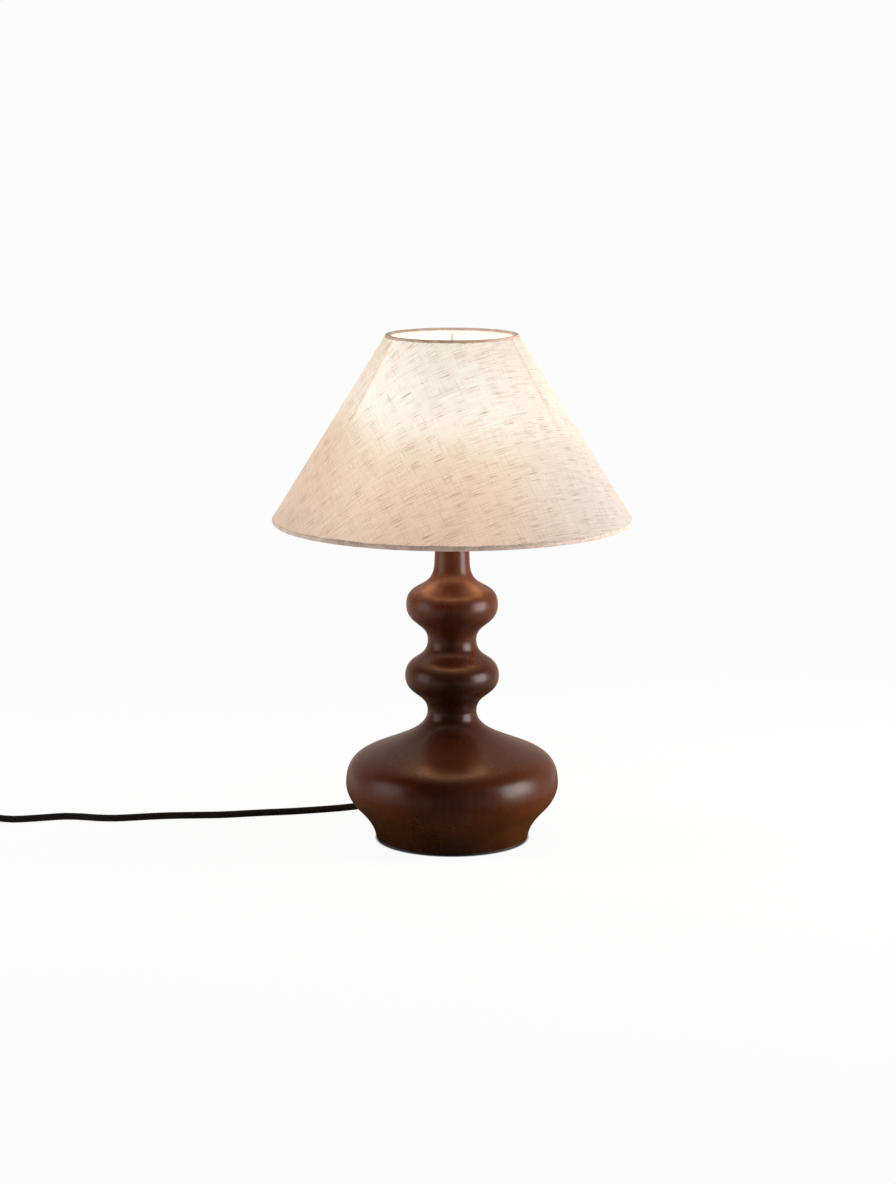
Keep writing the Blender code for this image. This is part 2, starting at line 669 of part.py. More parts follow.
def make_inner_lead(tube_bottom, tube_top):
    """The end of the lead inside the base, and its two wires up the tube to the terminals."""
    front = Vector((0, cord_inner_front(), CORD_HOLE_HEIGHT))
    back = Vector((0, bushing_end(), CORD_HOLE_HEIGHT))
    tube("cord_inner_end", [front, back], CORD_RADIUS, CORD_SIDES, "textile_cord")

    low = FELT_THICKNESS + LEAD_SAG
    start_y = front.y - SEAT_GAP
    plate_bottom = tube_top + INSERT_ABOVE_TUBE - SEAT_GAP - CONTACT_THICKNESS
    end_height = plate_bottom - SEAT_GAP - LEAD_RADIUS
    beside_screw = TERMINAL_HEAD_RADIUS + LEAD_RADIUS + SEAT_GAP
    for side, word, finish in ((1, "live", "lead_brown"), (-1, "neutral", "lead_blue")):
        x = side * LEAD_OFFSET
        route = [
            (x, start_y, CORD_HOLE_HEIGHT), (x, start_y - LEAD_TURN, CORD_HOLE_HEIGHT - LEAD_RADIUS),
            (x, LEAD_TURN + LEAD_RADIUS, low), (x, LEAD_TURN / 2, low), (x, 0, tube_bottom), (x, 0, tube_top),
            (side * TUBE_RADIUS, -beside_screw * 2 / 3, end_height - LEAD_RADIUS),
            (side * TERMINAL_X, -beside_screw, end_height),
        ]
        tube(f"lead_{word}", smooth_route(route[:5], LEAD_POINT_SPACING)
             + smooth_route(route[5:], LEAD_POINT_SPACING), LEAD_RADIUS, WIRE_SIDES, finish)


CAP_BOTTOM = SEAT_GAP + HOLDER_WASHER_THICKNESS + SEAT_GAP
CAP_TOP = CAP_BOTTOM + CAP_HEIGHT
COLLAR_BOTTOM = CAP_TOP + SEAT_GAP + SHELL_BODY_LENGTH
COLLAR_TOP = COLLAR_BOTTOM + COLLAR_THICKNESS
INSERT_BOTTOM = TUBE_ABOVE_NECK + INSERT_ABOVE_TUBE
WELL_FLOOR = INSERT_BOTTOM + INSERT_BASE_THICKNESS
LEDGE = WELL_FLOOR + LEDGE_HEIGHT
BULB_TIP_BOTTOM = LEDGE + BULB_TIP_ABOVE_LEDGE
BULB_CAP_BOTTOM = BULB_TIP_BOTTOM + BULB_TIP_HEIGHT + SEAT_GAP + INSULATOR_HEIGHT + SEAT_GAP
BULB_CAP_TOP = BULB_CAP_BOTTOM + BULB_CAP_LENGTH
THREAD_SHELL_TOP = BULB_CAP_TOP - THREAD_SHELL_BELOW_CAP
GALLERY_BOTTOM = COLLAR_TOP + SEAT_GAP
RING_BOTTOM = GALLERY_BOTTOM + GALLERY_THICKNESS + SEAT_GAP


def make_lampholder(seat):
    """The holder: washer, cap, outer shell with its collar, insert and thread shell."""
    hole = TUBE_RADIUS + SEAT_GAP
    turned("holder_washer", [
        (hole, SEAT_GAP), (HOLDER_WASHER_RADIUS, SEAT_GAP),
        (HOLDER_WASHER_RADIUS, SEAT_GAP + HOLDER_WASHER_THICKNESS),
        (hole, SEAT_GAP + HOLDER_WASHER_THICKNESS)], "zinc_steel", seat)

    cap_inner = CAP_RADIUS - CAP_WALL
    turned("holder_cap", [
        (hole, CAP_BOTTOM), (CAP_RADIUS - CAP_CHAMFER, CAP_BOTTOM), (CAP_RADIUS, CAP_BOTTOM + CAP_CHAMFER),
        (CAP_RADIUS, CAP_TOP), (cap_inner, CAP_TOP), (cap_inner, CAP_BOTTOM + CAP_PLATE),
        (hole, CAP_BOTTOM + CAP_PLATE)], "black_plastic", seat, HOLDER_SIDES)

    skirt_radius = cap_inner - SEAT_GAP
    skirt_bottom = CAP_TOP - SKIRT_DEPTH
    shell_top = COLLAR_TOP + SHELL_THREAD_LENGTH
    turned("holder_shell", [
        (SHELL_BORE_RADIUS, skirt_bottom), (skirt_radius, skirt_bottom), (skirt_radius, CAP_TOP + SEAT_GAP),
        (CAP_RADIUS, CAP_TOP + SEAT_GAP), (CAP_RADIUS, COLLAR_BOTTOM), (COLLAR_RADIUS, COLLAR_BOTTOM),
        (COLLAR_RADIUS, COLLAR_TOP), (SHELL_THREAD_RADIUS, COLLAR_TOP),
        (SHELL_THREAD_RADIUS, shell_top - SHELL_CHAMFER), (SHELL_THREAD_RADIUS - SHELL_CHAMFER, shell_top),
        (SHELL_BORE_RADIUS, shell_top)], "black_plastic", seat, HOLDER_SIDES)

    thread_inner = BULB_CAP_RADIUS + RUNNING_GAP
    thread_outer = thread_inner + THREAD_SHELL_WALL
    well = thread_outer + SEAT_GAP
    insert_radius = SHELL_BORE_RADIUS - SEAT_GAP
    insert = turned("holder_insert", [
        (0, INSERT_BOTTOM), (insert_radius, INSERT_BOTTOM), (insert_radius, THREAD_SHELL_TOP),
        (well, THREAD_SHELL_TOP), (well, LEDGE), (LEDGE_RADIUS, LEDGE), (LEDGE_RADIUS, WELL_FLOOR),
        (0, WELL_FLOOR)], "white_plastic", seat, HOLDER_SIDES, closed=False)
    flange_bottom = LEDGE + SEAT_GAP
    turned("holder_thread_shell", [
        (THREAD_SHELL_FLANGE, flange_bottom), (thread_outer, flange_bottom), (thread_outer, THREAD_SHELL_TOP),
        (thread_inner, THREAD_SHELL_TOP), (thread_inner, flange_bottom + THREAD_SHELL_WALL),
        (THREAD_SHELL_FLANGE, flange_bottom + THREAD_SHELL_WALL)], "brass", seat, HOLDER_SIDES)
    make_contacts(seat, insert, flange_bottom)


def make_contacts(seat, insert, flange_bottom):
    """The centre and side contacts through the insert, and the screws that grip the wires."""
    plate_middle = INSERT_BOTTOM - SEAT_GAP - CONTACT_THICKNESS / 2
    plate_bottom = plate_middle - CONTACT_THICKNESS / 2
    leaf_middle = BULB_TIP_BOTTOM - SEAT_GAP - CONTACT_THICKNESS / 2
    bend = WELL_FLOOR + CONTACT_THICKNESS * 2
    paths = {
        "centre_contact": [
            (CONTACT_PLATE_END, plate_middle), (CONTACT_LEG_X, plate_middle), (CONTACT_LEG_X, bend),
            (BULB_TIP_RADIUS, leaf_middle), (-BULB_TIP_RADIUS, leaf_middle)],
        "side_contact": [
            (-CONTACT_PLATE_END, plate_middle), (-CONTACT_LEG_X, plate_middle),
            (-CONTACT_LEG_X, flange_bottom - SEAT_GAP)],
    }
    slot_x = CONTACT_THICKNESS / 2 + SEAT_GAP
    slot_y = CONTACT_WIDTH / 2 + SEAT_GAP
    head_top = plate_bottom - SEAT_GAP
    shank_top = head_top + TERMINAL_SHANK_LENGTH
    for side, name, word in ((1, "centre_contact", "live"), (-1, "side_contact", "neutral")):
        contact = extruded(name, strip_outline(paths[name], CONTACT_THICKNESS), CONTACT_WIDTH, "brass", seat)
        leg_x = side * CONTACT_LEG_X
        slot = block(f"{name}_slot_cutter", (leg_x - slot_x, -slot_y, INSERT_BOTTOM - CUT_OVERRUN),
                     (leg_x + slot_x, slot_y, WELL_FLOOR + CUT_OVERRUN), parent=seat)
        apply_cut(insert, slot)
        hole = plain_rod(f"terminal_hole_cutter_{word}", TERMINAL_SHANK_RADIUS + SEAT_GAP,
                         plate_bottom - CUT_OVERRUN, shank_top + SEAT_GAP, parent=seat, sides=SCREW_SIDES)
        hole.location.x = side * TERMINAL_X
        apply_cut(insert, hole)
        apply_cut(contact, hole)
        screw = turned(f"terminal_screw_{word}", [
            (0, head_top - TERMINAL_HEAD_HEIGHT), (TERMINAL_HEAD_RADIUS, head_top - TERMINAL_HEAD_HEIGHT),
            (TERMINAL_HEAD_RADIUS, head_top), (TERMINAL_SHANK_RADIUS, head_top),
            (TERMINAL_SHANK_RADIUS, shank_top), (0, shank_top)], "brass", seat, SCREW_SIDES, closed=False)
        screw.location.x = side * TERMINAL_X


def make_bulb(seat):
    """The bulb: contact tip, insulator, thread cap, neck, light board and opal dome."""
    tip_top = BULB_TIP_BOTTOM + BULB_TIP_HEIGHT
    turned("bulb_tip", [
        (0, BULB_TIP_BOTTOM), (BULB_TIP_RADIUS - BULB_TIP_CHAMFER, BULB_TIP_BOTTOM),
        (BULB_TIP_RADIUS, BULB_TIP_BOTTOM + BULB_TIP_CHAMFER), (BULB_TIP_RADIUS, tip_top), (0, tip_top)],
        "brass", seat, closed=False)
    insulator_bottom = tip_top + SEAT_GAP
    turned("bulb_insulator", [
        (0, insulator_bottom), (BULB_TIP_RADIUS + BULB_TIP_CHAMFER, insulator_bottom),
        (INSULATOR_TOP_RADIUS, insulator_bottom + INSULATOR_HEIGHT),
        (0, insulator_bottom + INSULATOR_HEIGHT)], "black_plastic", seat, closed=False)
    turned("bulb_cap", [
        (0, BULB_CAP_BOTTOM), (BULB_CAP_RADIUS - BULB_CAP_CHAMFER, BULB_CAP_BOTTOM),
        (BULB_CAP_RADIUS, BULB_CAP_BOTTOM + BULB_CAP_CHAMFER), (BULB_CAP_RADIUS, BULB_CAP_TOP),
        (0, BULB_CAP_TOP)], "zinc_steel", seat, HOLDER_SIDES, closed=False)

    neck_bottom = BULB_CAP_TOP + SEAT_GAP
    neck_top = neck_bottom + BULB_NECK_LENGTH
    neck_outline = [(0, neck_bottom), (BULB_NECK_START_RADIUS, neck_bottom)]
    neck_outline += flowing((BULB_NECK_START_RADIUS, neck_bottom), UPRIGHT_WAY_SHARES,
                            (BULB_NECK_RADIUS, neck_top), UPRIGHT_WAY_SHARES,
                            BULB_NECK_HOLD_SHARES, BULB_NECK_STEPS)
    neck_outline += [(0, neck_top)]
    turned("bulb_neck", neck_outline, "white_plastic", seat, HOLDER_SIDES, closed=False)

    board_bottom = neck_top + SEAT_GAP
    plain_rod("led_board", LED_BOARD_RADIUS, board_bottom, board_bottom + LED_BOARD_THICKNESS, "board", seat)
    mouth = BULB_NECK_RADIUS - SEAT_GAP
    centre = board_bottom + math.sqrt(DOME_RADIUS ** 2 - mouth ** 2)
    outline = []
    for radius, order in ((DOME_RADIUS, 1), (DOME_RADIUS - DOME_WALL, -1)):
        lowest = -math.asin((centre - board_bottom) / radius)
        arc = []
        for step in range(DOME_STEPS + 1):
            angle = math.pi / 2 + (lowest - math.pi / 2) * step / DOME_STEPS
            arc.append((radius * math.cos(angle) if step else 0, centre + radius * math.sin(angle)))
        outline += arc[::order]
    turned("bulb_dome", outline, "opal_dome", seat, DOME_SIDES, closed=False)


def make_shade_ring(seat):
    """The ribbed ring that is screwed down on the shade's gallery."""
    inner = SHELL_THREAD_RADIUS + RUNNING_GAP
    top = RING_BOTTOM + SHADE_RING_HEIGHT
    outline = [(inner, RING_BOTTOM), (SHADE_RING_RADIUS, RING_BOTTOM), (SHADE_RING_RADIUS, top), (inner, top)]
    ring = turned("shade_ring", outline, "black_plastic", seat, SHADE_RING_RIBS * 2)
    between = (inner + SHADE_RING_RADIUS) / 2
    for vertex in ring.data.vertices:
        radius = math.hypot(vertex.co.x, vertex.co.y)
        turn = math.atan2(vertex.co.y, vertex.co.x) / math.tau * SHADE_RING_RIBS * 2
        if radius > between and round(turn) % 2 == 0:
            vertex.co.xy *= (radius + SHADE_RING_RIB_DEPTH) / radius


def cone_ways():
    """The way up the shade's slope and the way out of it, as (radius, height)."""
    up = Vector((SHADE_TOP_RADIUS - SHADE_BOTTOM_RADIUS, SHADE_HEIGHT))
    return up.normalized(), Vector((up.y, -up.x)).normalized(), up.length


def hem_outline(centre, way, out, radius, reach):
    """A strip folded round a ring wire: up its outer side, round the wire and up its inner side."""
    inner_radius = WIRE_RADIUS + SEAT_GAP
    points = [centre + way * reach + out * radius]
    for fold, order in ((radius, 1), (inner_radius, -1)):
        arc = []
        for step in range(HEM_FOLD_STEPS + 1):
            angle = math.pi / 2 + math.pi * step / HEM_FOLD_STEPS
            arc.append(centre + (way * math.cos(angle) + out * math.sin(angle)) * fold)
        points += arc[::order]
        if order == 1:
            points += [centre + way * HEM_INNER_REACH - out * side for side in (radius, inner_radius)]
    points.append(centre + way * reach + out * inner_radius)
    return [tuple(point) for point in points]


def make_shade(seat):
    """The cone shade: ring wires, ribs, arms, gallery, liner, linen and hems."""
    up, out, slope = cone_ways()
    bottom = Vector((SHADE_BOTTOM_RADIUS, -SHADE_BOTTOM_BELOW_GALLERY))
    top = Vector((SHADE_TOP_RADIUS, SHADE_HEIGHT - SHADE_BOTTOM_BELOW_GALLERY))

    for name, centre, sides in (("bottom_wire", bottom, SHADE_SIDES), ("top_wire", top, SHADE_TOP_SIDES)):
        section = []
        for index in range(RING_WIRE_SIDES):
            angle = math.tau * index / RING_WIRE_SIDES
            section.append(tuple(centre + (up * math.cos(angle) + out * math.sin(angle)) * WIRE_RADIUS))
        turned(name, section, "coated_wire", seat, sides)

    bottom_hem = hem_outline(bottom, up, out, BOTTOM_HEM_RADIUS, BOTTOM_HEM_REACH)
    top_hem = hem_outline(top, -up, out, TOP_HEM_RADIUS, TOP_HEM_REACH)
    turned("bottom_hem", bottom_hem, "hem", seat, SHADE_SIDES)
    turned("top_hem", top_hem, "hem", seat, SHADE_TOP_SIDES)

    low = bottom + up * (BOTTOM_HEM_REACH + SEAT_GAP)
    high = top - up * (TOP_HEM_REACH + SEAT_GAP)
    liner_low = WIRE_RADIUS + SEAT_GAP
    fabric_low = liner_low + LINER_THICKNESS + LAYER_GAP
    for name, near, thickness, finish in (("shade_liner", liner_low, LINER_THICKNESS, "liner"),
                                          ("shade_fabric", fabric_low, FABRIC_THICKNESS, "linen")):
        far = near + thickness
        outline = [low + out * near, low + out * far, high + out * far, high + out * near]
        turned(name, [tuple(point) for point in outline], finish, seat, SHADE_SIDES)

    turned("gallery_ring", [
        (SHELL_THREAD_RADIUS + RUNNING_GAP, 0), (GALLERY_RADIUS, 0), (GALLERY_RADIUS, GALLERY_THICKNESS),
        (SHELL_THREAD_RADIUS + RUNNING_GAP, GALLERY_THICKNESS)], "coated_wire", seat, HOLDER_SIDES)
    make_ribs(seat, up, slope, bottom)


def make_ribs(seat, up, slope, bottom):
    """The ribs between the ring wires, each with an arm that carries it on the gallery."""
    end_gap = WIRE_RADIUS + SEAT_GAP
    arm_place = bottom + up * ARM_UP_RIB
    arm_inset = WIRE_RADIUS / up.y - ARM_RADIUS * up.x / up.y + SEAT_GAP
    arm_end = (arm_place.x - arm_inset, arm_place.y)
    arm_start = (GALLERY_RADIUS + SEAT_GAP, GALLERY_THICKNESS / 2)
    rib_ends = (bottom + up * end_gap, bottom + up * (slope - end_gap))
    for index in range(RIB_COUNT):
        angle = RIB_START_ANGLE + math.tau * index / RIB_COUNT
        way = Vector((math.cos(angle), math.sin(angle), 0))
        for name, ends, radius in ((f"rib_{index + 1}", rib_ends, WIRE_RADIUS),
                                   (f"arm_{index + 1}", (arm_start, arm_end), ARM_RADIUS)):
            points = [way * end[0] + Vector((0, 0, end[1])) for end in ends]
            tube(name, points, radius, WIRE_SIDES, "coated_wire", seat)


def switch_plan(inset):
    """The switch's outline from above, drawn in by an inset."""
    half_length = SWITCH_LENGTH / 2 - inset
    half_width = SWITCH_WIDTH / 2 - inset
    side = []
    for step in range(SWITCH_OUTLINE_STEPS + 1):
        share = -math.cos(math.pi * step / SWITCH_OUTLINE_STEPS)
        taper = 1 - (1 - SWITCH_END_WIDTH_SHARE) * abs(share) ** SWITCH_WAIST_POWER_SHARE
        side.append((half_length * share, half_width * taper))
    return [(x, -y) for x, y in side] + side[::-1]


def make_switch(place_empty):
    """The switch on the lead: two half shells, screws, rocker and contacts."""
    split = SWITCH_SPLIT_HEIGHT
    lower_sections = [(SWITCH_EDGE, 0), (0, SWITCH_EDGE), (0, split - SEAT_GAP / 2)]
    crown_start = SWITCH_HEIGHT - SWITCH_CROWN_HEIGHT
    upper_sections = [(0, split + SEAT_GAP / 2)]
    upper_sections += [(SWITCH_CROWN * inset, crown_start + SWITCH_CROWN_HEIGHT * rise)
                       for inset, rise in SWITCH_CROWN_SHARES]
    shells = []
    for name, sections in (("switch_case_lower", lower_sections), ("switch_case_upper", upper_sections)):
        loops = [[(x, y, height) for x, y in switch_plan(inset)] for inset, height in sections]
        shells.append(lofted(name, loops, "black_plastic", place_empty))
    lower, upper = shells

    pocket_x = SWITCH_POCKET_LENGTH / 2
    pocket_y = SWITCH_POCKET_WIDTH / 2
    apply_cut(lower, block("switch_pocket_cutter", (-pocket_x, -pocket_y, SWITCH_FLOOR),
                           (pocket_x, pocket_y, split + CUT_OVERRUN), parent=place_empty))
    window_x = ROCKER_SWEEP * math.cos(ROCKER_LOW_ANGLE - ROCKER_TILT) + RUNNING_GAP
    window_y = ROCKER_WIDTH / 2 + RUNNING_GAP
    apply_cut(upper, block("rocker_window_cutter", (-window_x, -window_y, split - CUT_OVERRUN),
                           (window_x, window_y, SWITCH_HEIGHT + CUT_OVERRUN), parent=place_empty))
    for side in (-1, 1):
        near, far = sorted((side * (window_x + SWITCH_WEB), side * pocket_x))
        apply_cut(upper, block(f"tab_pocket_cutter_{'in' if side < 0 else 'out'}",
                               (near, -pocket_y, split - CUT_OVERRUN),
                               (far, pocket_y, split + SWITCH_POCKET_HEADROOM), parent=place_empty))

    pivot_height = SWITCH_HEIGHT - ROCKER_PIVOT_BELOW_TOP
    pin_half = ROCKER_WIDTH / 2 + ROCKER_PIN_REACH
    bearing = plain_rod("rocker_bearing_cutter", ROCKER_PIN_RADIUS + RUNNING_GAP, -pin_half - RUNNING_GAP,
                        pin_half + RUNNING_GAP, parent=place_empty)
    bearing.location.z = pivot_height
    lay_along_y(bearing)
    apply_cut(upper, bearing)
    make_switch_screws(place_empty, lower, upper)
    make_rocker(place_empty, pivot_height, pin_half)
    make_switch_contacts(place_empty, pivot_height)


def make_switch_screws(place_empty, lower, upper):
    """The two screws that hold the switch's shells together, from below."""
    head_top = SWITCH_SCREW_SINK + SWITCH_SCREW_HEAD_HEIGHT
    end = head_top + SWITCH_SCREW_LENGTH
    for number, side in ((1, -1), (2, 1)):
        spot = (side * SWITCH_SCREW_X, -side * SWITCH_SCREW_Y, 0)
        shank_hole = SWITCH_SCREW_RADIUS + SEAT_GAP
        head_hole = SWITCH_SCREW_HEAD_RADIUS + SEAT_GAP
        cutter = turned(f"switch_screw_cutter_{number}", [
            (0, -CUT_OVERRUN), (head_hole, -CUT_OVERRUN), (head_hole, head_top + SEAT_GAP),
            (shank_hole, head_top + SEAT_GAP), (shank_hole, end + SEAT_GAP), (0, end + SEAT_GAP)],
            None, place_empty, SCREW_SIDES, closed=False)
        cutter.location = spot
        apply_cut(lower, cutter)
        apply_cut(upper, cutter)
        screw = turned(f"switch_screw_{number}", [
            (0, SWITCH_SCREW_SINK), (SWITCH_SCREW_HEAD_RADIUS, SWITCH_SCREW_SINK),
            (SWITCH_SCREW_HEAD_RADIUS, head_top), (SWITCH_SCREW_RADIUS, head_top), (SWITCH_SCREW_RADIUS, end),
            (0, end)], "zinc_steel", place_empty, SCREW_SIDES, closed=False)
        screw.location = spot


def make_rocker(place_empty, pivot_height, pin_half):
    """The rocker on its pins, pressed down on the side towards the lamp, with its contact bridge."""
    rocker_pivot = pivot("rocker_pivot", (0, 0, pivot_height))
    rocker_pivot.parent = place_empty
    rocker_pivot.rotation_euler = (0, ROCKER_TILT, 0)
    right = []
    for step in range(ROCKER_ARC_STEPS + 1):
        angle = ROCKER_TOP_ANGLE + (ROCKER_LOW_ANGLE - ROCKER_TOP_ANGLE) * step / ROCKER_ARC_STEPS
        right.append((ROCKER_SWEEP * math.cos(angle), ROCKER_SWEEP * math.sin(angle)))
    right += [(ROCKER_HIP_HALF_WIDTH, 0), (ROCKER_HUB_HALF_WIDTH, -ROCKER_HUB_DEPTH)]
    valley = (0, right[0][1] - right[0][0] * math.tan(ROCKER_TILT))
    outline = [valley] + right + [(-x, z) for x, z in right[::-1]]
    rocker = extruded("switch_rocker", outline, ROCKER_WIDTH, "black_plastic", rocker_pivot)
    pins = plain_rod("rocker_pins", ROCKER_PIN_RADIUS, -pin_half, pin_half, parent=rocker_pivot)
    lay_along_y(pins)
    apply_cut(rocker, pins, "UNION")

    bridge_top = -ROCKER_HUB_DEPTH - SEAT_GAP
    block("rocker_contact", (-BRIDGE_LENGTH / 2, -BRIDGE_WIDTH / 2, bridge_top - BRIDGE_THICKNESS),
          (BRIDGE_LENGTH / 2, BRIDGE_WIDTH / 2, bridge_top), "brass", rocker_pivot)


def make_switch_contacts(place_empty, pivot_height):
    """The strips under the rocker: one carries the bridge's middle, the other meets its low end."""
    floor = SWITCH_FLOOR + SEAT_GAP + SWITCH_STRIP_THICKNESS / 2
    bridge_depth = ROCKER_HUB_DEPTH + SEAT_GAP + BRIDGE_THICKNESS
    post_top = (pivot_height - bridge_depth / math.cos(ROCKER_TILT)
                - SWITCH_STRIP_THICKNESS / 2 * math.tan(ROCKER_TILT) - SEAT_GAP)
    low_end = BRIDGE_LENGTH / 2 * math.sin(ROCKER_TILT) + bridge_depth * math.cos(ROCKER_TILT)
    pad = pivot_height - low_end - SEAT_GAP - SWITCH_STRIP_THICKNESS / 2
    step_x = BRIDGE_LENGTH / 2 + SWITCH_STRIP_THICKNESS * 2
    paths = {
        "switch_terminal_in": [(-SWITCH_TAB_X, SWITCH_TAB_HEIGHT), (-SWITCH_TAB_X, floor), (0, floor),
                               (0, post_top)],
        "switch_terminal_out": [(SWITCH_TAB_X, SWITCH_TAB_HEIGHT), (SWITCH_TAB_X, floor),
                                (step_x + SWITCH_STRIP_THICKNESS, floor), (step_x, pad),
                                (SWITCH_CONTACT_X, pad)],
    }
    for name, path in paths.items():
        extruded(name, strip_outline(path, SWITCH_STRIP_THICKNESS), SWITCH_STRIP_WIDTH, "brass", place_empty)


def plug_section(x, half_width, half_height, power):
    """One cross-section of the plug, from round to block-like with its power."""
    points = []
    for index in range(PLUG_SECTION_SIDES):
        angle = math.tau * (index + 0.5) / PLUG_SECTION_SIDES
        across, rise = math.cos(angle), math.sin(angle)
        y = half_width * math.copysign(abs(across) ** (2 / power), across)
        z = half_height * math.copysign(abs(rise) ** (2 / power), rise)
        points.append((x, y, z))
    return points


def make_plug(start):
    """The flat plug: tapered relief, body and two pins, from where the lead enters it."""
    place_empty = pivot("plug_place", start)
    half_width = PLUG_WIDTH / 2
    half_height = PLUG_THICKNESS / 2
    face = PLUG_RELIEF_LENGTH + PLUG_LENGTH
    face_width = half_width * PLUG_FACE_WIDTH_SHARE
    shoulder_width = (PLUG_RELIEF_ROOT_RADIUS + half_width) / 2
    shoulder, full = (PLUG_RELIEF_LENGTH + PLUG_LENGTH * share for share in PLUG_SHOULDER_SHARES)
    loops = [
        plug_section(0, PLUG_RELIEF_END_RADIUS, PLUG_RELIEF_END_RADIUS, PLUG_ROUND_POWER_SHARE),
        plug_section(PLUG_RELIEF_LENGTH, PLUG_RELIEF_ROOT_RADIUS, PLUG_RELIEF_ROOT_RADIUS,
                     PLUG_ROUND_POWER_SHARE),
        plug_section(shoulder, shoulder_width, half_height, PLUG_SHOULDER_POWER_SHARE),
        plug_section(full, half_width, half_height, PLUG_BLOCK_POWER_SHARE),
        plug_section(face - PLUG_FACE_CHAMFER, face_width, half_height, PLUG_BLOCK_POWER_SHARE),
        plug_section(face, face_width - PLUG_FACE_CHAMFER, half_height - PLUG_FACE_CHAMFER,
                     PLUG_BLOCK_POWER_SHARE),
    ]
    body = lofted("plug_body", loops, "black_plastic", place_empty)
    for number, side in ((1, -1), (2, 1)):
        spot = (face, side * PIN_SPACING / 2, 0)
        hole = plain_rod(f"pin_hole_cutter_{number}", PIN_RADIUS + SEAT_GAP, -PIN_ROOT - SEAT_GAP,
                         CUT_OVERRUN, parent=place_empty, sides=SCREW_SIDES)
        pin = turned(f"plug_pin_{number}", rod_outline(PIN_RADIUS, -PIN_ROOT, PIN_LENGTH, PIN_CHAMFER),
                     "brass", place_empty, SCREW_SIDES, closed=False)
        for piece in (hole, pin):
            piece.location = spot
            piece.rotation_euler = (0, math.radians(90), 0)
        apply_cut(body, hole)


COIL_LOW = CORD_RADIUS + COIL_LIFT
COIL_HIGH = COIL_LOW + COIL_PITCH
COIL_CENTRE = Vector((COIL_CENTRE_X, SWITCH_PLACE.y - COIL_RADIUS, 0))


def coil_points():
    """The wound lead: in on the lower layer, up in the half turn that reverses, and out again."""
    turns = COIL_TURNS_PER_LAYER * 2 + COIL_CLIMB_TURNS
    innermost = COIL_RADIUS - COIL_PITCH * COIL_TURNS_PER_LAYER
    points = []
    count = round(turns * COIL_POINTS_PER_TURN)
    for index in range(count + 1):
        turn = turns * index / count
        climbed = min(max((turn - COIL_TURNS_PER_LAYER) / COIL_CLIMB_TURNS, 0), 1)
        if climbed == 0:
            radius = COIL_RADIUS - COIL_PITCH * turn
        elif climbed < 1:
            radius = innermost - COIL_PITCH * COIL_CLIMB_TURNS * (climbed - climbed ** 2)
        else:
            radius = innermost + COIL_PITCH * (turn - COIL_TURNS_PER_LAYER - COIL_CLIMB_TURNS)
        angle = math.pi / 2 + math.tau * turn
        height = COIL_LOW + (COIL_HIGH - COIL_LOW) * climbed ** 2 * (3 - 2 * climbed)
        points.append(COIL_CENTRE + Vector((radius * math.cos(angle), radius * math.sin(angle), height)))
    straight = Vector((CORD_RADIUS * 2, 0, 0))
    return [points[0] + straight] + points + [points[-1] + straight]


def least_gap(points):
    """The least gap of the wound tube to itself, from points of unlike turns."""
    apart = COIL_POINTS_PER_TURN // 2
    nearest = min((first - second).length
                  for index, first in enumerate(points)
                  for second in points[index + apart:])
    return nearest - CORD_RADIUS * 2


def rounded_rectangle(half_x, half_z, corner):
    """Points round a rectangle with round corners."""
    points = []
    for quarter in range(4):
        sign_x = 1 if quarter in (0, 3) else -1
        sign_z = 1 if quarter in (0, 1) else -1
        for step in range(TIE_CORNER_STEPS + 1):
            angle = math.pi / 2 * (quarter + step / TIE_CORNER_STEPS)
            points.append((sign_x * (half_x - corner) + corner * math.cos(angle),
                           sign_z * (half_z - corner) + corner * math.sin(angle)))
    return points


def make_coil():
    """The spare lead wound in two layers, with a tie round its turns."""
    points = coil_points()
    tube("cord_coil", points, CORD_RADIUS, COIL_SIDES, "textile_cord")
    print(f"least gap of the coil to itself: {least_gap(points) * 1000:.2f} mm")

    half_x = COIL_PITCH * (COIL_TURNS_PER_LAYER - COIL_CLIMB_TURNS) / 2 + CORD_RADIUS + TIE_SLACK
    half_z = COIL_PITCH / 2 + CORD_RADIUS + SEAT_GAP
    inner = rounded_rectangle(half_x, half_z, TIE_CORNER_RADIUS)
    outer = rounded_rectangle(half_x + TIE_THICKNESS, half_z + TIE_THICKNESS,
                              TIE_CORNER_RADIUS + TIE_THICKNESS)
    bm = bmesh.new()
    half = TIE_WIDTH / 2
    rings = [[bm.verts.new((x, y, z)) for x, z in outline]
             for outline, y in ((inner, -half), (outer, -half), (outer, half), (inner, half))]
    for near, far in zip(rings, rings[1:] + rings[:1]):
        for index in range(len(near)):
            after = (index + 1) % len(near)
            bm.faces.new((near[index], near[after], far[after], far[index]))
    tie = place("cord_tie", mesh_from(bm, "cord_tie"), "felt")
    middle = COIL_RADIUS - COIL_PITCH * COIL_TURNS_PER_LAYER / 2
    tie.location = (COIL_CENTRE.x - middle, COIL_CENTRE.y, (COIL_LOW + COIL_HIGH) / 2)
    return points


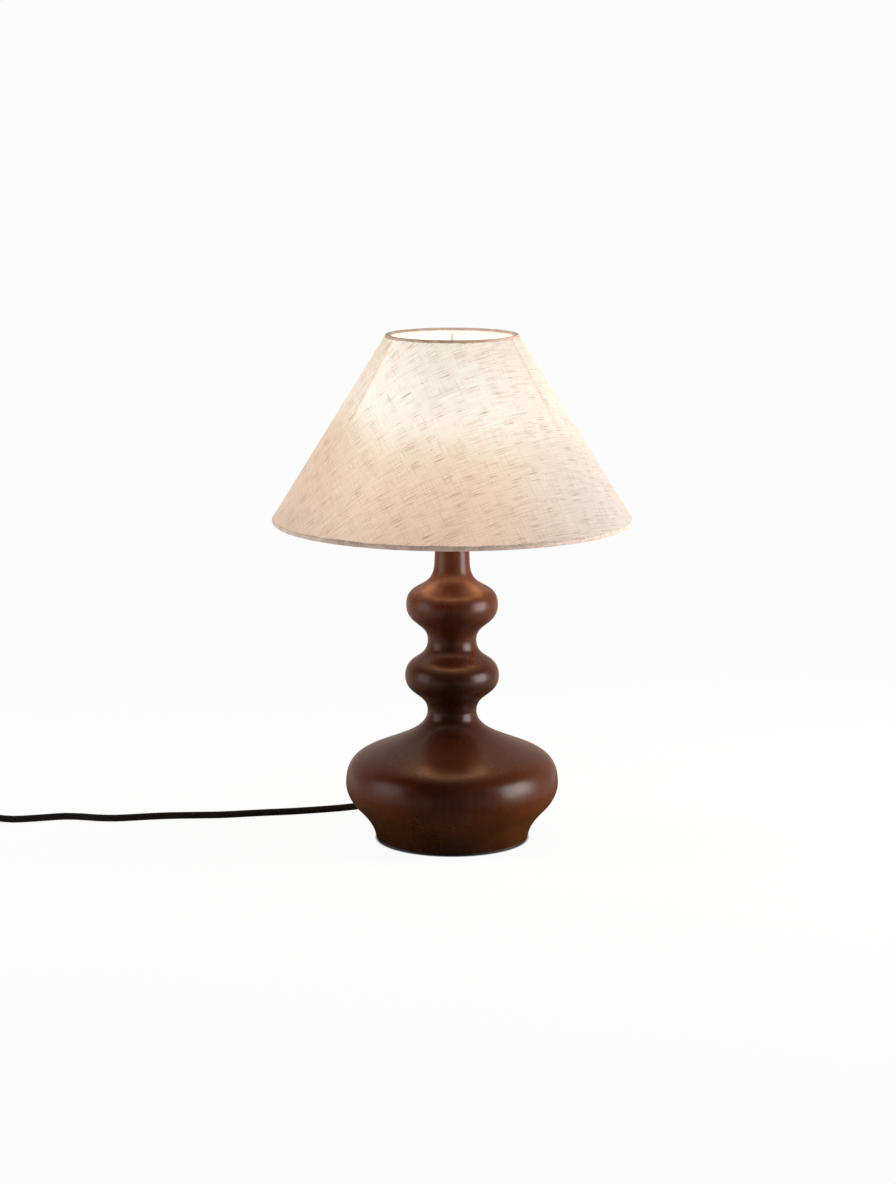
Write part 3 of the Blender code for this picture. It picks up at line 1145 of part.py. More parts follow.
def make_cord():
    """The free lead: from the base to the switch, on to the coil, and from the coil to the plug."""
    coil = make_coil()
    gap = Vector((SEAT_GAP, 0, 0))
    straight = Vector((CORD_RADIUS * 2, 0, 0))
    half_switch = Vector((SWITCH_LENGTH / 2, 0, 0)) + gap
    switch_middle = SWITCH_PLACE + Vector((0, 0, SWITCH_SPLIT_HEIGHT))
    switch_right = switch_middle + half_switch
    switch_left = switch_middle - half_switch
    exit_point = Vector((0, bushing_end() + SEAT_GAP, CORD_HOLE_HEIGHT))
    run = [exit_point, exit_point + straight.yxz, *CORD_RUN_ROUTE, switch_right + straight, switch_right]
    link = [switch_left, switch_left - straight, *CORD_LINK_ROUTE, coil[0] + straight, coil[0] + gap]
    plug_entry = Vector((coil[-1].x + TAIL_LENGTH, coil[-1].y, PLUG_THICKNESS / 2))
    fall = Vector((0, 0, coil[-1].z - plug_entry.z))
    tail = [coil[-1] + gap]
    tail += [(coil[-1] - fall).lerp(plug_entry, along) + fall * share for along, share in TAIL_FALL_SHARES]
    tail.append(plug_entry - gap)
    for name, route in (("cord_run", run), ("cord_link", link), ("cord_tail", tail)):
        points = smooth_route(route, CORD_POINT_SPACING, straight_ends=True)
        tube(name, points, CORD_RADIUS, CORD_SIDES, "textile_cord")
    return plug_entry


def build_lamp():
    """Make every piece of the lamp."""
    clear_scene()
    bowl = make_base()
    tube_bottom, tube_top = make_tube()
    make_cord_exit(bowl)
    make_cord_grip(bowl)
    make_inner_lead(tube_bottom, tube_top)
    holder_seat = pivot("holder_seat", (0, 0, NECK_TOP))
    make_lampholder(holder_seat)
    make_bulb(pivot("bulb_axis", (0, 0, NECK_TOP)))
    make_shade_ring(pivot("shade_ring_axis", (0, 0, NECK_TOP)))
    make_shade(pivot("shade_axis", (0, 0, NECK_TOP + GALLERY_BOTTOM)))
    make_switch(pivot("switch_place", SWITCH_PLACE))
    make_plug(make_cord())


build_lamp()
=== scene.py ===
"""Looks of the turned wooden table lamp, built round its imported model.

Metres, +Z up, in the model's own frame. The front faces -Y and the lead lies to the lamp's left.
Camera and lead come first, then the finishes, then the pieces from the base up to the shade.
"""

import json
import math
from itertools import accumulate

import bmesh
import bpy
from mathutils import Matrix, Vector
from mathutils.geometry import interpolate_bezier


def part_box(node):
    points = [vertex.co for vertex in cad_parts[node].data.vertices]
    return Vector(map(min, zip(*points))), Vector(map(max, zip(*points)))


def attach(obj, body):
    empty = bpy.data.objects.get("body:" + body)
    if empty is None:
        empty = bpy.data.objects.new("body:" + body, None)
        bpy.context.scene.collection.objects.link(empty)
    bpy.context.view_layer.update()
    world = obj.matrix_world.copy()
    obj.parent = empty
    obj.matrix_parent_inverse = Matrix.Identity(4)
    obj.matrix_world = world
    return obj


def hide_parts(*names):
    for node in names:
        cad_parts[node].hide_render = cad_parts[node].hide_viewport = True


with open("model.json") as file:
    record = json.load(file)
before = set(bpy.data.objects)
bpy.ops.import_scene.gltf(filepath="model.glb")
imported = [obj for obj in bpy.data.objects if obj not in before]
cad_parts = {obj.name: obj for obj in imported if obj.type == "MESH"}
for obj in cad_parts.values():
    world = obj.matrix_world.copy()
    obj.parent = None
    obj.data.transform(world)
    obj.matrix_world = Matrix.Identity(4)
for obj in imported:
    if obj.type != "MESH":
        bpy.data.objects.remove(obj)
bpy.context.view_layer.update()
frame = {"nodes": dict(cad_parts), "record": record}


def top_of(node):
    """Height of a node's upper end."""
    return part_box(node)[1].z


def bottom_of(node):
    """Height of a node's lower end."""
    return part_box(node)[0].z


def radius_of(node):
    """Largest radius of a node that stands on the lamp's axis."""
    low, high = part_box(node)
    return (high.x - low.x) / 2


# Fits and fineness
CONTACT_GAP = 0.0003
FINE_SIDES = 128
ROUND_SIDES = 64
SMALL_SIDES = 32
SHARP_ANGLE = math.radians(42)

# Camera, as measured from the photograph
CAMERA_PLACE = (-0.0034, -2.427, 0.660)
CAMERA_PITCH = math.radians(10.48)
CAMERA_LENS_MM = 89.7

# Lead, switch, coil and plug, in the places that the model gives them
CORD_RADIUS = 0.0030
CORD_SPACING = 0.0150
CORD_SIDES = 16
SWITCH_PLACE = Vector((-0.4460, 0.0445, 0.0))
SWITCH_LENGTH = 0.0620
SWITCH_HALF_WIDTH = 0.0135
SWITCH_SPLIT_HEIGHT = 0.0075
ROCKER_SWEEP = 0.0115
SCREW_SPOT = Vector((0.016, -0.009, 0))
COIL_RADIUS = 0.0420
COIL_PITCH = 0.0066
COIL_TURNS_PER_LAYER = 2.5
COIL_CLIMB_TURNS = 0.5
COIL_POINTS_PER_TURN = 24
COIL_CENTRE = Vector((-0.5410, SWITCH_PLACE.y - COIL_RADIUS, 0.0))
COIL_LOW = 0.0040
COIL_HIGH = COIL_LOW + COIL_PITCH
TAIL_LENGTH = 0.0500
PLUG_HALF_THICKNESS = 0.00675
TAIL_FALL_SHARES = ((0.14, 1.0), (0.32, 0.66), (0.50, 0.10), (0.66, -0.20), (0.82, -0.10), (0.92, 0.0))
CORD_EXIT = Vector((0.0, 0.0869, 0.0142))
CORD_RUN_ROUTE = (
    (-0.0015, 0.0990, 0.0137), (-0.0080, 0.1080, 0.0115), (-0.0190, 0.1145, 0.0075),
    (-0.0330, 0.1160, 0.0044), (-0.0480, 0.1110, 0.0032), (-0.0620, 0.1030, 0.0030),
    (-0.0750, 0.0950, 0.0030), (-0.0880, 0.0875, 0.0030), (-0.1020, 0.0820, 0.0030),
    (-0.1230, 0.0760, 0.0030), (-0.1430, 0.0710, 0.0030), (-0.1640, 0.0675, 0.0030),
    (-0.1850, 0.0630, 0.0030), (-0.2050, 0.0595, 0.0030), (-0.2260, 0.0585, 0.0030),
    (-0.2460, 0.0570, 0.0030), (-0.2670, 0.0535, 0.0030), (-0.2870, 0.0490, 0.0030),
    (-0.3030, 0.0490, 0.0030), (-0.3190, 0.0530, 0.0030), (-0.3350, 0.0550, 0.0030),
    (-0.3500, 0.0515, 0.0030), (-0.3690, 0.0465, 0.0030), (-0.3830, 0.0447, 0.0030),
    (-0.3900, 0.0445, 0.0035), (-0.3967, 0.0445, 0.0052), (-0.4034, 0.0445, 0.0070),
)
CORD_LINK_ROUTE = (
    (-0.4890, 0.0445, 0.0070), (-0.4955, 0.0445, 0.0056), (-0.5020, 0.0445, 0.0044),
    (-0.5090, 0.0445, 0.0040), (-0.5200, 0.0445, 0.0040),
)

# Turned outline of bowl and stem: radius, height, way and how far the curve holds it before and after
WOOD_STATIONS = (
    (0.0646, 0.0030, (0.18, 1.0), 0.0, 0.34), (0.0805, 0.0280, (1.01, 1.0), 0.31, 0.44),
    (0.0897, 0.0474, (0.0, 1.0), 0.20, 0.50), (0.0569, 0.0817, (-1.0, 0.42), 0.45, 0.42),
    (0.0206, 0.1101, (0.0, 1.0), 0.30, 0.43), (0.0395, 0.1398, (0.0, 1.0), 0.44, 0.51),
    (0.0204, 0.1709, (0.0, 1.0), 0.49, 0.41), (0.0385, 0.2007, (0.0, 1.0), 0.48, 0.49),
    (0.0148, 0.2376, (0.0, 1.0), 0.61, 0.0),
)
WAIST_STATION = 4
WOOD_STEPS = 16
NECK_TOP = top_of("wood_stem")
NECK_EASE = 0.0010
BORE_RADIUS = 0.0053
RECESS_RADIUS = 0.0420
WOOD_BOTTOM = bottom_of("wood_bowl")
RECESS_CEILING = 0.0179
TENON_RADIUS = 0.0100
TENON_LENGTH = 0.0180
BULB_PITCH = 0.00282

# Shade: the cone through its two ring wires
WIRE_RADIUS = 0.00125
BOTTOM_RING = Vector((0.1474, 0.2729))
TOP_RING = Vector((0.0528, 0.4254))
SLOPE_WAY = (TOP_RING - BOTTOM_RING).normalized()
OUT_WAY = Vector((SLOPE_WAY.y, -SLOPE_WAY.x))
SLOPE_LENGTH = (TOP_RING - BOTTOM_RING).length
CONE_SHARE = -SLOPE_WAY.x
SLOPE_STEPS = 24
LINER_IN = 0.00155
LINER_OUT = 0.00185
FABRIC_IN = 0.00200
FABRIC_OUT = 0.00250
RIB_ANGLES = tuple(math.radians(90 + 120 * index) for index in range(3))
SEAM_ANGLE = math.radians(90)
HEM_INNER_REACH = 0.0030
GALLERY_BORE = 0.01405
SEAM_WIDTH = 0.0080
SEAM_THICKNESS = 0.0004

# Linen threads and their slubs, on the cloth laid flat. Fineness is how many times longer than wide a slub is
THREAD_PITCH = 0.00075
THREAD_TURN = math.radians(-24)
SLUB_FINENESS = 58.0
SLUB_START = 0.612
SLUB_FULL = 0.70

# Light that comes through the linen, by height above the table, and painted shade at its two sides, low and
# high: warmer and darker on the left, paler and cooler on the right
GLOW_STOPS = (
    (0.270, (0.65, 0.48, 0.37)), (0.300, (0.76, 0.57, 0.44)), (0.330, (0.85, 0.66, 0.51)),
    (0.350, (0.90, 0.77, 0.63)), (0.372, (1.01, 0.99, 0.91)), (0.427, (0.82, 0.76, 0.64)),
)
GLOW_DRIFT = 0.016
LEFT_PAINTED_SHADE = ((0.76, 0.70, 0.66, 1), (0.70, 0.56, 0.46, 1))
RIGHT_PAINTED_SHADE = ((0.60, 0.68, 0.79, 1), (0.73, 0.67, 0.66, 1))
# Painted shadow where the ribs lie on the lit linen
RIB_PAINTED_SHADOW = (0.80, 0.66, 0.52, 1)
# Painted light in the middle of each panel between the ribs
PANEL_PAINTED_LIGHT = (1.06, 1.06, 1.04, 1)
SLUB_TINT = (0.42, 0.29, 0.19, 1)
LINEN_BASE = (0.22, 0.21, 0.19, 1)
SLUB_BASE = (0.16, 0.11, 0.08, 1)

# Wood colours, and painted shade and light by height: darker near the table, on the shoulder, in the lower
# waist and on the lower bead, lighter just below the bowl's widest point and on the upper bead
WOOD_DARK = (0.0440, 0.0090, 0.0019)
WOOD_MIDDLE = (0.0590, 0.0128, 0.0028)
WOOD_LIGHT = (0.0760, 0.0178, 0.0043)
WOOD_PORE = (0.0260, 0.0052, 0.0014, 1)
FOOT_TINT = (0.97, 1.28, 1.30, 1)
PAINTED_SHADE_DRIFT = 0.02
PAINTED_SHADE_BY_HEIGHT = ((0.003, 0.48), (0.020, 0.94), (0.035, 1.24), (0.050, 0.78), (0.068, 0.74), (0.080, 0.78),
                   (0.112, 0.38), (0.140, 0.50), (0.172, 0.80), (0.200, 0.88), (0.270, 0.80))

# Textile braid of the lead
BRAID_ENDS = 12
BRAID_PITCH = 0.0085

# Studio
BACKGROUND = 0.972
LEVEL_LIGHT = (0.25, 0.17)
FLOOR_COLOUR = (0.72, 0.72, 0.72, 1)
FLOOR_SHADOW_SHARE = 0.07
FLOOR_LIGHT = 0.60
STUDIO_IN_GLOSS = (1.0, 0.79, 0.68, 1)
WHITE = (1, 1, 1, 1)
SHADOW_FADE = (0.30, 0.95)
# Painted contact shadow under the foot: the floor's glow is left out inside these radii
FOOT_SHADOW_EDGE = (0.0630, 0.0665)
SIDES_IN_GLOSS = (0.05, 0.38, 0.01, 0.72)
REAR_IN_GLOSS = (0.05, 0.6, 0.01, 0.6)
FAR_IN_GLOSS = (-0.05, 0.70, 0.003, 0.57)
LIGHT_AIM = (0, 0, 0.16)
SHADE_GLOSS_COUNT = 8
SHADE_GLOSS_RADIUS = 0.072
SHADE_GLOSS_HEIGHT = 0.285

# Ways to lay a piece that was turned upright
UPRIGHT = Matrix.Identity(4)
LAID_BACK = Matrix.Rotation(-math.pi / 2, 4, "X")
LAID_RIGHT = Matrix.Rotation(math.pi / 2, 4, "Y")


def at_turn(radius, angle, height):
    """A point at a radius, an angle and a height round the lamp's axis."""
    return Vector((radius * math.cos(angle), radius * math.sin(angle), height))


def lengths_along(points):
    """How far along a line each of its points lies."""
    return [0.0, *accumulate((after - before).length for before, after in zip(points, points[1:]))]


def spans(points):
    """From the point before each point to the one after it."""
    return [after - before for before, after in zip(points[:1] + points[:-1], points[1:] + points[-1:])]


def smooth_route(knots, spacing, straight_ends=True):
    """Evenly spaced points read from a smooth curve through the knots, with straight ends if asked."""
    knots = [Vector(knot) for knot in knots]
    ahead = knots[1:] + [knots[-1] * 2 - knots[-2]]
    behind = [knots[0] * 2 - knots[1]] + knots[:-1]
    ways = [(after - before).normalized() for before, after in zip(behind, ahead)]
    first, last = knots[:1], knots[-1:]
    if straight_ends:
        ways = [(knots[1] - knots[0]).normalized()] + ways[2:-2] + [(knots[-1] - knots[-2]).normalized()]
        knots = knots[1:-1]
    fine = [knots[0]]
    for start, end, start_way, end_way in zip(knots, knots[1:], ways, ways[1:]):
        third = (end - start).length / 3
        fine += interpolate_bezier(start, start + start_way * third, end - end_way * third, end, 25)[1:]
    lengths = lengths_along(fine)
    count = max(2, round(lengths[-1] / spacing))
    points = []
    index = 0
    for step in range(count + 1):
        wanted = lengths[-1] * step / count
        while index < len(fine) - 2 and lengths[index + 1] < wanted:
            index += 1
        share = (wanted - lengths[index]) / (lengths[index + 1] - lengths[index])
        points.append(fine[index].lerp(fine[index + 1], min(share, 1.0)))
    return first + points + last if straight_ends else points


def coil_points():
    """The wound lead: in on the lower layer, up in the half turn that reverses, and out again."""
    turns = COIL_TURNS_PER_LAYER * 2 + COIL_CLIMB_TURNS
    innermost = COIL_RADIUS - COIL_PITCH * COIL_TURNS_PER_LAYER
    points = []
    count = round(turns * COIL_POINTS_PER_TURN)
    for index in range(count + 1):
        turn = turns * index / count
        climbed = min(max((turn - COIL_TURNS_PER_LAYER) / COIL_CLIMB_TURNS, 0), 1)
        if climbed == 0:
            radius = COIL_RADIUS - COIL_PITCH * turn
        elif climbed < 1:
            radius = innermost - COIL_PITCH * COIL_CLIMB_TURNS * (climbed - climbed ** 2)
        else:
            radius = innermost + COIL_PITCH * (turn - COIL_TURNS_PER_LAYER - COIL_CLIMB_TURNS)
        height = COIL_LOW + (COIL_HIGH - COIL_LOW) * climbed ** 2 * (3 - 2 * climbed)
        points.append(COIL_CENTRE + at_turn(radius, math.pi / 2 + math.tau * turn, height))
    return points


def piece_from(bm, name, smooth=True):
    """Close a bmesh into a named piece with outward faces."""
    bmesh.ops.remove_doubles(bm, verts=bm.verts, dist=0.000001)
    bmesh.ops.recalc_face_normals(bm, faces=bm.faces)
    mesh = bpy.data.meshes.new(name)
    bm.to_mesh(mesh)
    bm.free()
    if smooth:
        mesh.shade_smooth()
        mesh.set_sharp_from_angle(angle=SHARP_ANGLE)
    piece = bpy.data.objects.new(name, mesh)
    bpy.context.scene.collection.objects.link(piece)
    return piece


def dress(piece, finish, body, *nodes):
    """Give a piece its finish, let it ride on its body, and let it stand for its nodes."""
    piece.data.materials.clear()
    piece.data.materials.append(FINISHES[finish])
    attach(piece, body)
    if nodes:
        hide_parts(*nodes)
    return piece


def stacked(name, loops, spot=(0, 0, 0), closed=False, layer=None, flat=None):
    """Join loops of points into one piece, with end faces unless it closes, and a flat map if named."""
    bm = bmesh.new()
    uv = bm.loops.layers.uv.new(layer) if layer else None
    rings = [[bm.verts.new(Vector(point) + Vector(spot)) for point in loop] for loop in loops]
    sides = range(len(rings[0]))
    faces = [((side, step), (side + 1, step), (side + 1, step + 1), (side, step + 1))
             for step in range(len(rings) if closed else len(rings) - 1) for side in sides]
    if not closed:
        faces += [[(side, 0) for side in reversed(sides)], [(side, len(rings) - 1) for side in sides]]
    for corners in faces:
        face = bm.faces.new([rings[step % len(rings)][side % len(sides)] for side, step in corners])
        if layer:
            for loop, (side, step) in zip(face.loops, corners):
                loop[uv].uv = flat(side, step)
    return piece_from(bm, name)


def round_loops(points, radii, sides):
    """Rings of points round a line, carried along it without a twist."""
    ways = [span.normalized() for span in spans(points)]
    across = ways[0].orthogonal().normalized()
    loops = []
    for before, way, point, radius in zip(ways[:1] + ways, ways, points, radii):
        across = before.rotation_difference(way) @ across
        across = (across - way * across.dot(way)).normalized()
        beside = way.cross(across)
        loops.append([point + (across * math.cos(angle) + beside * math.sin(angle)) * radius
                      for angle in (math.tau * side / sides for side in range(sides))])
    return loops


def braided_tube(name, points, radius, sides=CORD_SIDES):
    """A round lead along points, with its turn and its length written in the map named braid."""
    lengths = lengths_along(points)
    return stacked(name, round_loops(points, [radius] * len(points), sides), layer="braid",
                   flat=lambda side, step: (side / sides, lengths[step]))


def finer(points, parts):
    """The same smooth line with more points."""
    ways = [span / 2 for span in spans(points)]
    fine = [points[0]]
    for start, end, way, next_way in zip(points, points[1:], ways, ways[1:]):
        fine += interpolate_bezier(start, start + way / 3, end - next_way / 3, end, parts + 1)[1:]
    return fine


def make_camera():
    """The photograph's viewpoint."""
    data = bpy.data.cameras.new("photo_view")
    data.lens = CAMERA_LENS_MM
    data.clip_end = 20
    camera = bpy.data.objects.new("photo_view", data)
    camera.location = CAMERA_PLACE
    camera.rotation_euler = (math.pi / 2 - CAMERA_PITCH, 0, 0)
    bpy.context.scene.collection.objects.link(camera)
    bpy.context.scene.camera = camera


def lead_routes():
    """Points of the lead's two stretches: base to switch, and switch over coil to plug."""
    straight = Vector((CORD_RADIUS * 2, 0, 0))
    half_switch = Vector((SWITCH_LENGTH / 2, 0, 0))
    middle = SWITCH_PLACE + Vector((0, 0, SWITCH_SPLIT_HEIGHT))
    right, left = middle + half_switch, middle - half_switch
    run = smooth_route([CORD_EXIT, CORD_EXIT + straight.yxz, *CORD_RUN_ROUTE, right + straight, right],
                       CORD_SPACING)
    coil = coil_points()
    link = smooth_route([left, left - straight, *CORD_LINK_ROUTE, coil[0] + straight, coil[0]], CORD_SPACING)
    plug_entry = Vector((coil[-1].x + straight.x + TAIL_LENGTH, coil[-1].y, PLUG_HALF_THICKNESS))
    start = coil[-1] + straight
    fall = Vector((0, 0, start.z - plug_entry.z))
    tail = [coil[-1], start]
    tail += [(start - fall).lerp(plug_entry, along) + fall * share for along, share in TAIL_FALL_SHARES]
    tail.append(plug_entry)
    tail = smooth_route(tail, CORD_SPACING)
    return run, link[:-1] + coil[:-1] + tail, plug_entry


make_camera()
RUN_POINTS, SPARE_POINTS, PLUG_ENTRY = lead_routes()
lead_run = braided_tube("lead_run", finer(RUN_POINTS, 2), CORD_RADIUS)
lead_spare = braided_tube("lead_spare", finer(SPARE_POINTS, 2), CORD_RADIUS)


def add(tree, kind, inputs=None, **settings):
    """Put a node in a tree, with its inputs linked or set."""
    node = tree.nodes.new(kind)
    for key, value in settings.items():
        setattr(node, key, value)
    for key, value in (inputs or {}).items():
        if isinstance(value, bpy.types.NodeSocket):
            tree.links.new(value, node.inputs[key])
        else:
            node.inputs[key].default_value = value
    return node


def calc(tree, operation, first, second=0.0, third=0.0, clamp=False):
    """The outcome of one sum."""
    node = add(tree, "ShaderNodeMath", {0: first, 1: second, 2: third}, operation=operation, use_clamp=clamp)
    return node.outputs[0]


def vector_calc(tree, operation, first, second=(0, 0, 0)):
    """The outcome of one sum on vectors, as a vector and as a value."""
    return add(tree, "ShaderNodeVectorMath", {0: first, 1: second}, operation=operation).outputs


def parts_of(tree, vector):
    """The three parts of a vector."""
    return add(tree, "ShaderNodeSeparateXYZ", {0: vector}).outputs


def mixed(tree, share, first, second):
    """Two values mixed by a share."""
    return add(tree, "ShaderNodeMix", {0: share, 2: first, 3: second}).outputs[0]


def blended(tree, share, first, second, how="MIX"):
    """Two colours mixed by a share."""
    node = add(tree, "ShaderNodeMix", {0: share, 6: first, 7: second}, data_type="RGBA", blend_type=how)
    return node.outputs[2]


def stepped(tree, value, low, high, start=0.0, end=1.0):
    """A value that goes softly from start to end while another goes from low to high."""
    node = add(tree, "ShaderNodeMapRange", {0: value, 1: low, 2: high, 3: start, 4: end},
               interpolation_type="SMOOTHSTEP")
    return node.outputs[0]


def noise(tree, vector, scale, detail=2.0, stretch=(1, 1, 1)):
    """Even noise from 0 to 1, stretched along an axis where asked."""
    mapped = add(tree, "ShaderNodeMapping", {"Vector": vector, "Scale": stretch}).outputs[0]
    return add(tree, "ShaderNodeTexNoise", {"Vector": mapped, "Scale": scale, "Detail": detail}).outputs[0]


def ramp(tree, value, stops, blend="LINEAR"):
    """A colour for each share of a value, from (share, colour) stops."""
    node = add(tree, "ShaderNodeValToRGB", {0: value})
    node.color_ramp.interpolation = blend
    elements = node.color_ramp.elements
    while len(elements) < len(stops):
        elements.new(1.0)
    for element, (share, colour) in zip(elements, stops):
        element.position = share
        element.color = (*colour, 1.0)
    return node.outputs[0]


def by_height(tree, height, stops, lift):
    """A soft run of colours from (height, colour) stops, for a height that was lifted on average."""
    low, high = stops[0][0], stops[-1][0]
    share = calc(tree, "DIVIDE", calc(tree, "SUBTRACT", height, low + lift), high - low, clamp=True)
    return ramp(tree, share, [((stop - low) / (high - low), colour) for stop, colour in stops], "B_SPLINE")


def place_of(tree):
    """A point's own place on the piece, in metres."""
    return add(tree, "ShaderNodeTexCoord").outputs["Object"]


def group_tree(name, inputs, outputs):
    """An empty node group with named sockets."""
    tree = bpy.data.node_groups.new(name, "ShaderNodeTree")
    for socket, kind, value in inputs:
        made = tree.interface.new_socket(socket, in_out="INPUT", socket_type=kind)
        if value is not None:
            made.default_value = value
    for socket, kind in outputs:
        tree.interface.new_socket(socket, in_out="OUTPUT", socket_type=kind)
    return tree, tree.nodes.new("NodeGroupInput").outputs, tree.nodes.new("NodeGroupOutput").inputs


def grouped(tree, group, **inputs):
    """The outputs of a node group placed in a material."""
    values = {key.replace("_", " "): value for key, value in inputs.items()}
    return add(tree, "ShaderNodeGroup", values, node_tree=bpy.data.node_groups[group]).outputs


def make_handled_surface():
    """Roughness that varies with handling, and a fine moulded or lacquered skin."""
    tree, given, result = group_tree(
        "handled_surface",
        [("Place", "NodeSocketVector", None), ("Patch scale", "NodeSocketFloat", 30.0),
         ("Skin scale", "NodeSocketFloat", 2500.0), ("Smooth", "NodeSocketFloat", 0.3),
         ("Rough", "NodeSocketFloat", 0.45)],
        [("Roughness", "NodeSocketFloat"), ("Skin", "NodeSocketFloat")])
    spread = stepped(tree, noise(tree, given["Place"], given["Patch scale"], 4.0), 0.3, 0.7)
    tree.links.new(mixed(tree, spread, given["Smooth"], given["Rough"]), result["Roughness"])
    tree.links.new(noise(tree, given["Place"], given["Skin scale"], 2.0), result["Skin"])


def make_drawn_metal():
    """Fine lines of drawn or turned metal, and its tarnish."""
    tree, given, result = group_tree(
        "drawn_metal",
        [("Place", "NodeSocketVector", None), ("Bright", "NodeSocketColor", (0.6, 0.6, 0.6, 1)),
         ("Dull", "NodeSocketColor", (0.4, 0.4, 0.4, 1))],
        [("Colour", "NodeSocketColor"), ("Roughness", "NodeSocketFloat"), ("Lines", "NodeSocketFloat")])
    patches = noise(tree, given["Place"], 120.0, 5.0)
    tarnish = stepped(tree, patches, 0.42, 0.68)
    tree.links.new(blended(tree, tarnish, given["Bright"], given["Dull"]), result["Colour"])
    tree.links.new(stepped(tree, patches, 0.3, 0.75, 0.22, 0.42), result["Roughness"])
    tree.links.new(noise(tree, given["Place"], 900.0, 3.0, (0.15, 0.15, 1.0)), result["Lines"])


def make_linen_threads():
    """Slub linen from a flat place in metres: how far each thread stands out, its tone and its slubs."""
    tree, given, result = group_tree(
        "linen_threads",
        [("Flat place", "NodeSocketVector", None), ("Turn", "NodeSocketFloat", 0.0)],
        [("Height", "NodeSocketFloat"), ("Tone", "NodeSocketFloat"), ("Slubs", "NodeSocketFloat")])
    place = add(tree, "ShaderNodeVectorRotate", {"Vector": given["Flat place"], "Angle": given["Turn"]},
                rotation_type="Z_AXIS").outputs[0]
    apart = parts_of(tree, place)
    wander = noise(tree, place, 60.0, 2.0)
    heights, tones, slubs = [], [], []
    for across, stretch, share in ((apart[1], (1.0, SLUB_FINENESS, 1.0), 1.0),
                                   (apart[0], (SLUB_FINENESS, 1.0, 1.0), 0.4)):
        bent = calc(tree, "MULTIPLY_ADD", wander, 0.0012, across)
        thread = calc(tree, "SINE", calc(tree, "MULTIPLY", bent, math.tau / THREAD_PITCH))
        heights.append(calc(tree, "MULTIPLY_ADD", thread, 0.5, 0.5))
        tones.append(noise(tree, place, 36.0, 3.0, stretch))
        shifted = vector_calc(tree, "ADD", place, (share, share, share))[0]
        thick = stepped(tree, noise(tree, shifted, 58.0, 0.0, stretch), SLUB_START, SLUB_FULL)
        picked = stepped(tree, noise(tree, shifted, 70.0, 1.0), 0.40, 0.66, 0.40, 1.0)
        faint = stepped(tree, noise(tree, shifted, 24.0, 1.0, stretch), 0.52, 0.74, 0.0, 0.26)
        slub = calc(tree, "MULTIPLY_ADD", thick, picked, faint)
        slubs.append(calc(tree, "MULTIPLY", slub, share))
    over = calc(tree, "MAXIMUM", *heights)
    specks = stepped(tree, noise(tree, place, 420.0, 1.0), 0.70, 0.78, 0.0, 0.7)
    slub = calc(tree, "MAXIMUM", calc(tree, "MAXIMUM", *slubs), specks, clamp=True)
    tree.links.new(calc(tree, "MULTIPLY_ADD", slub, 0.8, over), result["Height"])
    tree.links.new(calc(tree, "MULTIPLY", calc(tree, "ADD", *tones), 0.5), result["Tone"])
    tree.links.new(slub, result["Slubs"])


make_handled_surface()
make_drawn_metal()
make_linen_threads()


def begin_finish(name, roughness=0.5, metallic=0.0):
    """A new finish with its shader."""
    material = bpy.data.materials.new(name)
    material.use_nodes = True
    tree = material.node_tree
    shader = tree.nodes["Principled BSDF"]
    shader.inputs["Roughness"].default_value = roughness
    shader.inputs["Metallic"].default_value = metallic
    return material, tree, shader


def bump(tree, shader, height, distance, strength=1.0):
    """Let a height show in the shader's normal."""
    node = add(tree, "ShaderNodeBump", {"Height": height, "Distance": distance, "Strength": strength})
    tree.links.new(node.outputs[0], shader.inputs["Normal"])


def paint(tree, shader, colour):
    """Let a colour show on the surface."""
    tree.links.new(colour, shader.inputs["Base Color"])


def shine(tree, shader, colour, strength=1.0):
    """Let a colour glow from the surface."""
    tree.links.new(colour, shader.inputs["Emission Color"])
    shader.inputs["Emission Strength"].default_value = strength


def handle(tree, shader, place, **scales):
    """Give the shader the roughness of handling, and return the skin's height."""
    handled = grouped(tree, "handled_surface", Place=place, **scales)
    tree.links.new(handled["Roughness"], shader.inputs["Roughness"])
    return handled["Skin"]


def lacquered_wood():
    """Dark stained wood under satin lacquer: upright grain, cloudy colour and fine pores, with painted shade
    and light by height.
    """
    material, tree, shader = begin_finish("dark_wood")
    place = place_of(tree)
    clouds = noise(tree, place, 22.0, 3.0, (1.0, 1.0, 0.45))
    grain = noise(tree, place, 260.0, 2.0, (1.0, 1.0, 0.05))
    pores = noise(tree, place, 700.0, 1.0, (1.0, 1.0, 0.035))
    tone = calc(tree, "MULTIPLY_ADD", grain, 0.55, calc(tree, "MULTIPLY", clouds, 0.55))
    colour = ramp(tree, tone, [(0.36, WOOD_DARK), (0.56, WOOD_MIDDLE), (0.74, WOOD_LIGHT)])
    colour = blended(tree, stepped(tree, pores, 0.56, 0.76, 0.0, 0.10), colour, WOOD_PORE)
    # Painted shade and light by height, with a cloudy edge; towards the foot the colour is also tinted
    # yellower.
    up = calc(tree, "MULTIPLY_ADD", clouds, PAINTED_SHADE_DRIFT, parts_of(tree, place)[2])
    painted_shade = by_height(tree, up, [(stop, (share,) * 3) for stop, share in PAINTED_SHADE_BY_HEIGHT], PAINTED_SHADE_DRIFT / 2)
    colour = blended(tree, 1.0, colour, painted_shade, "MULTIPLY")
    colour = blended(tree, stepped(tree, up, 0.035, 0.060, 1.0, 0.0), colour, FOOT_TINT, "MULTIPLY")
    paint(tree, shader, colour)
    skin = handle(tree, shader, place, Patch_scale=26.0, Skin_scale=420.0, Smooth=0.26, Rough=0.32)
    shader.inputs["Specular IOR Level"].default_value = 0.30
    bump(tree, shader, skin, 0.00002, 0.5)
    return material


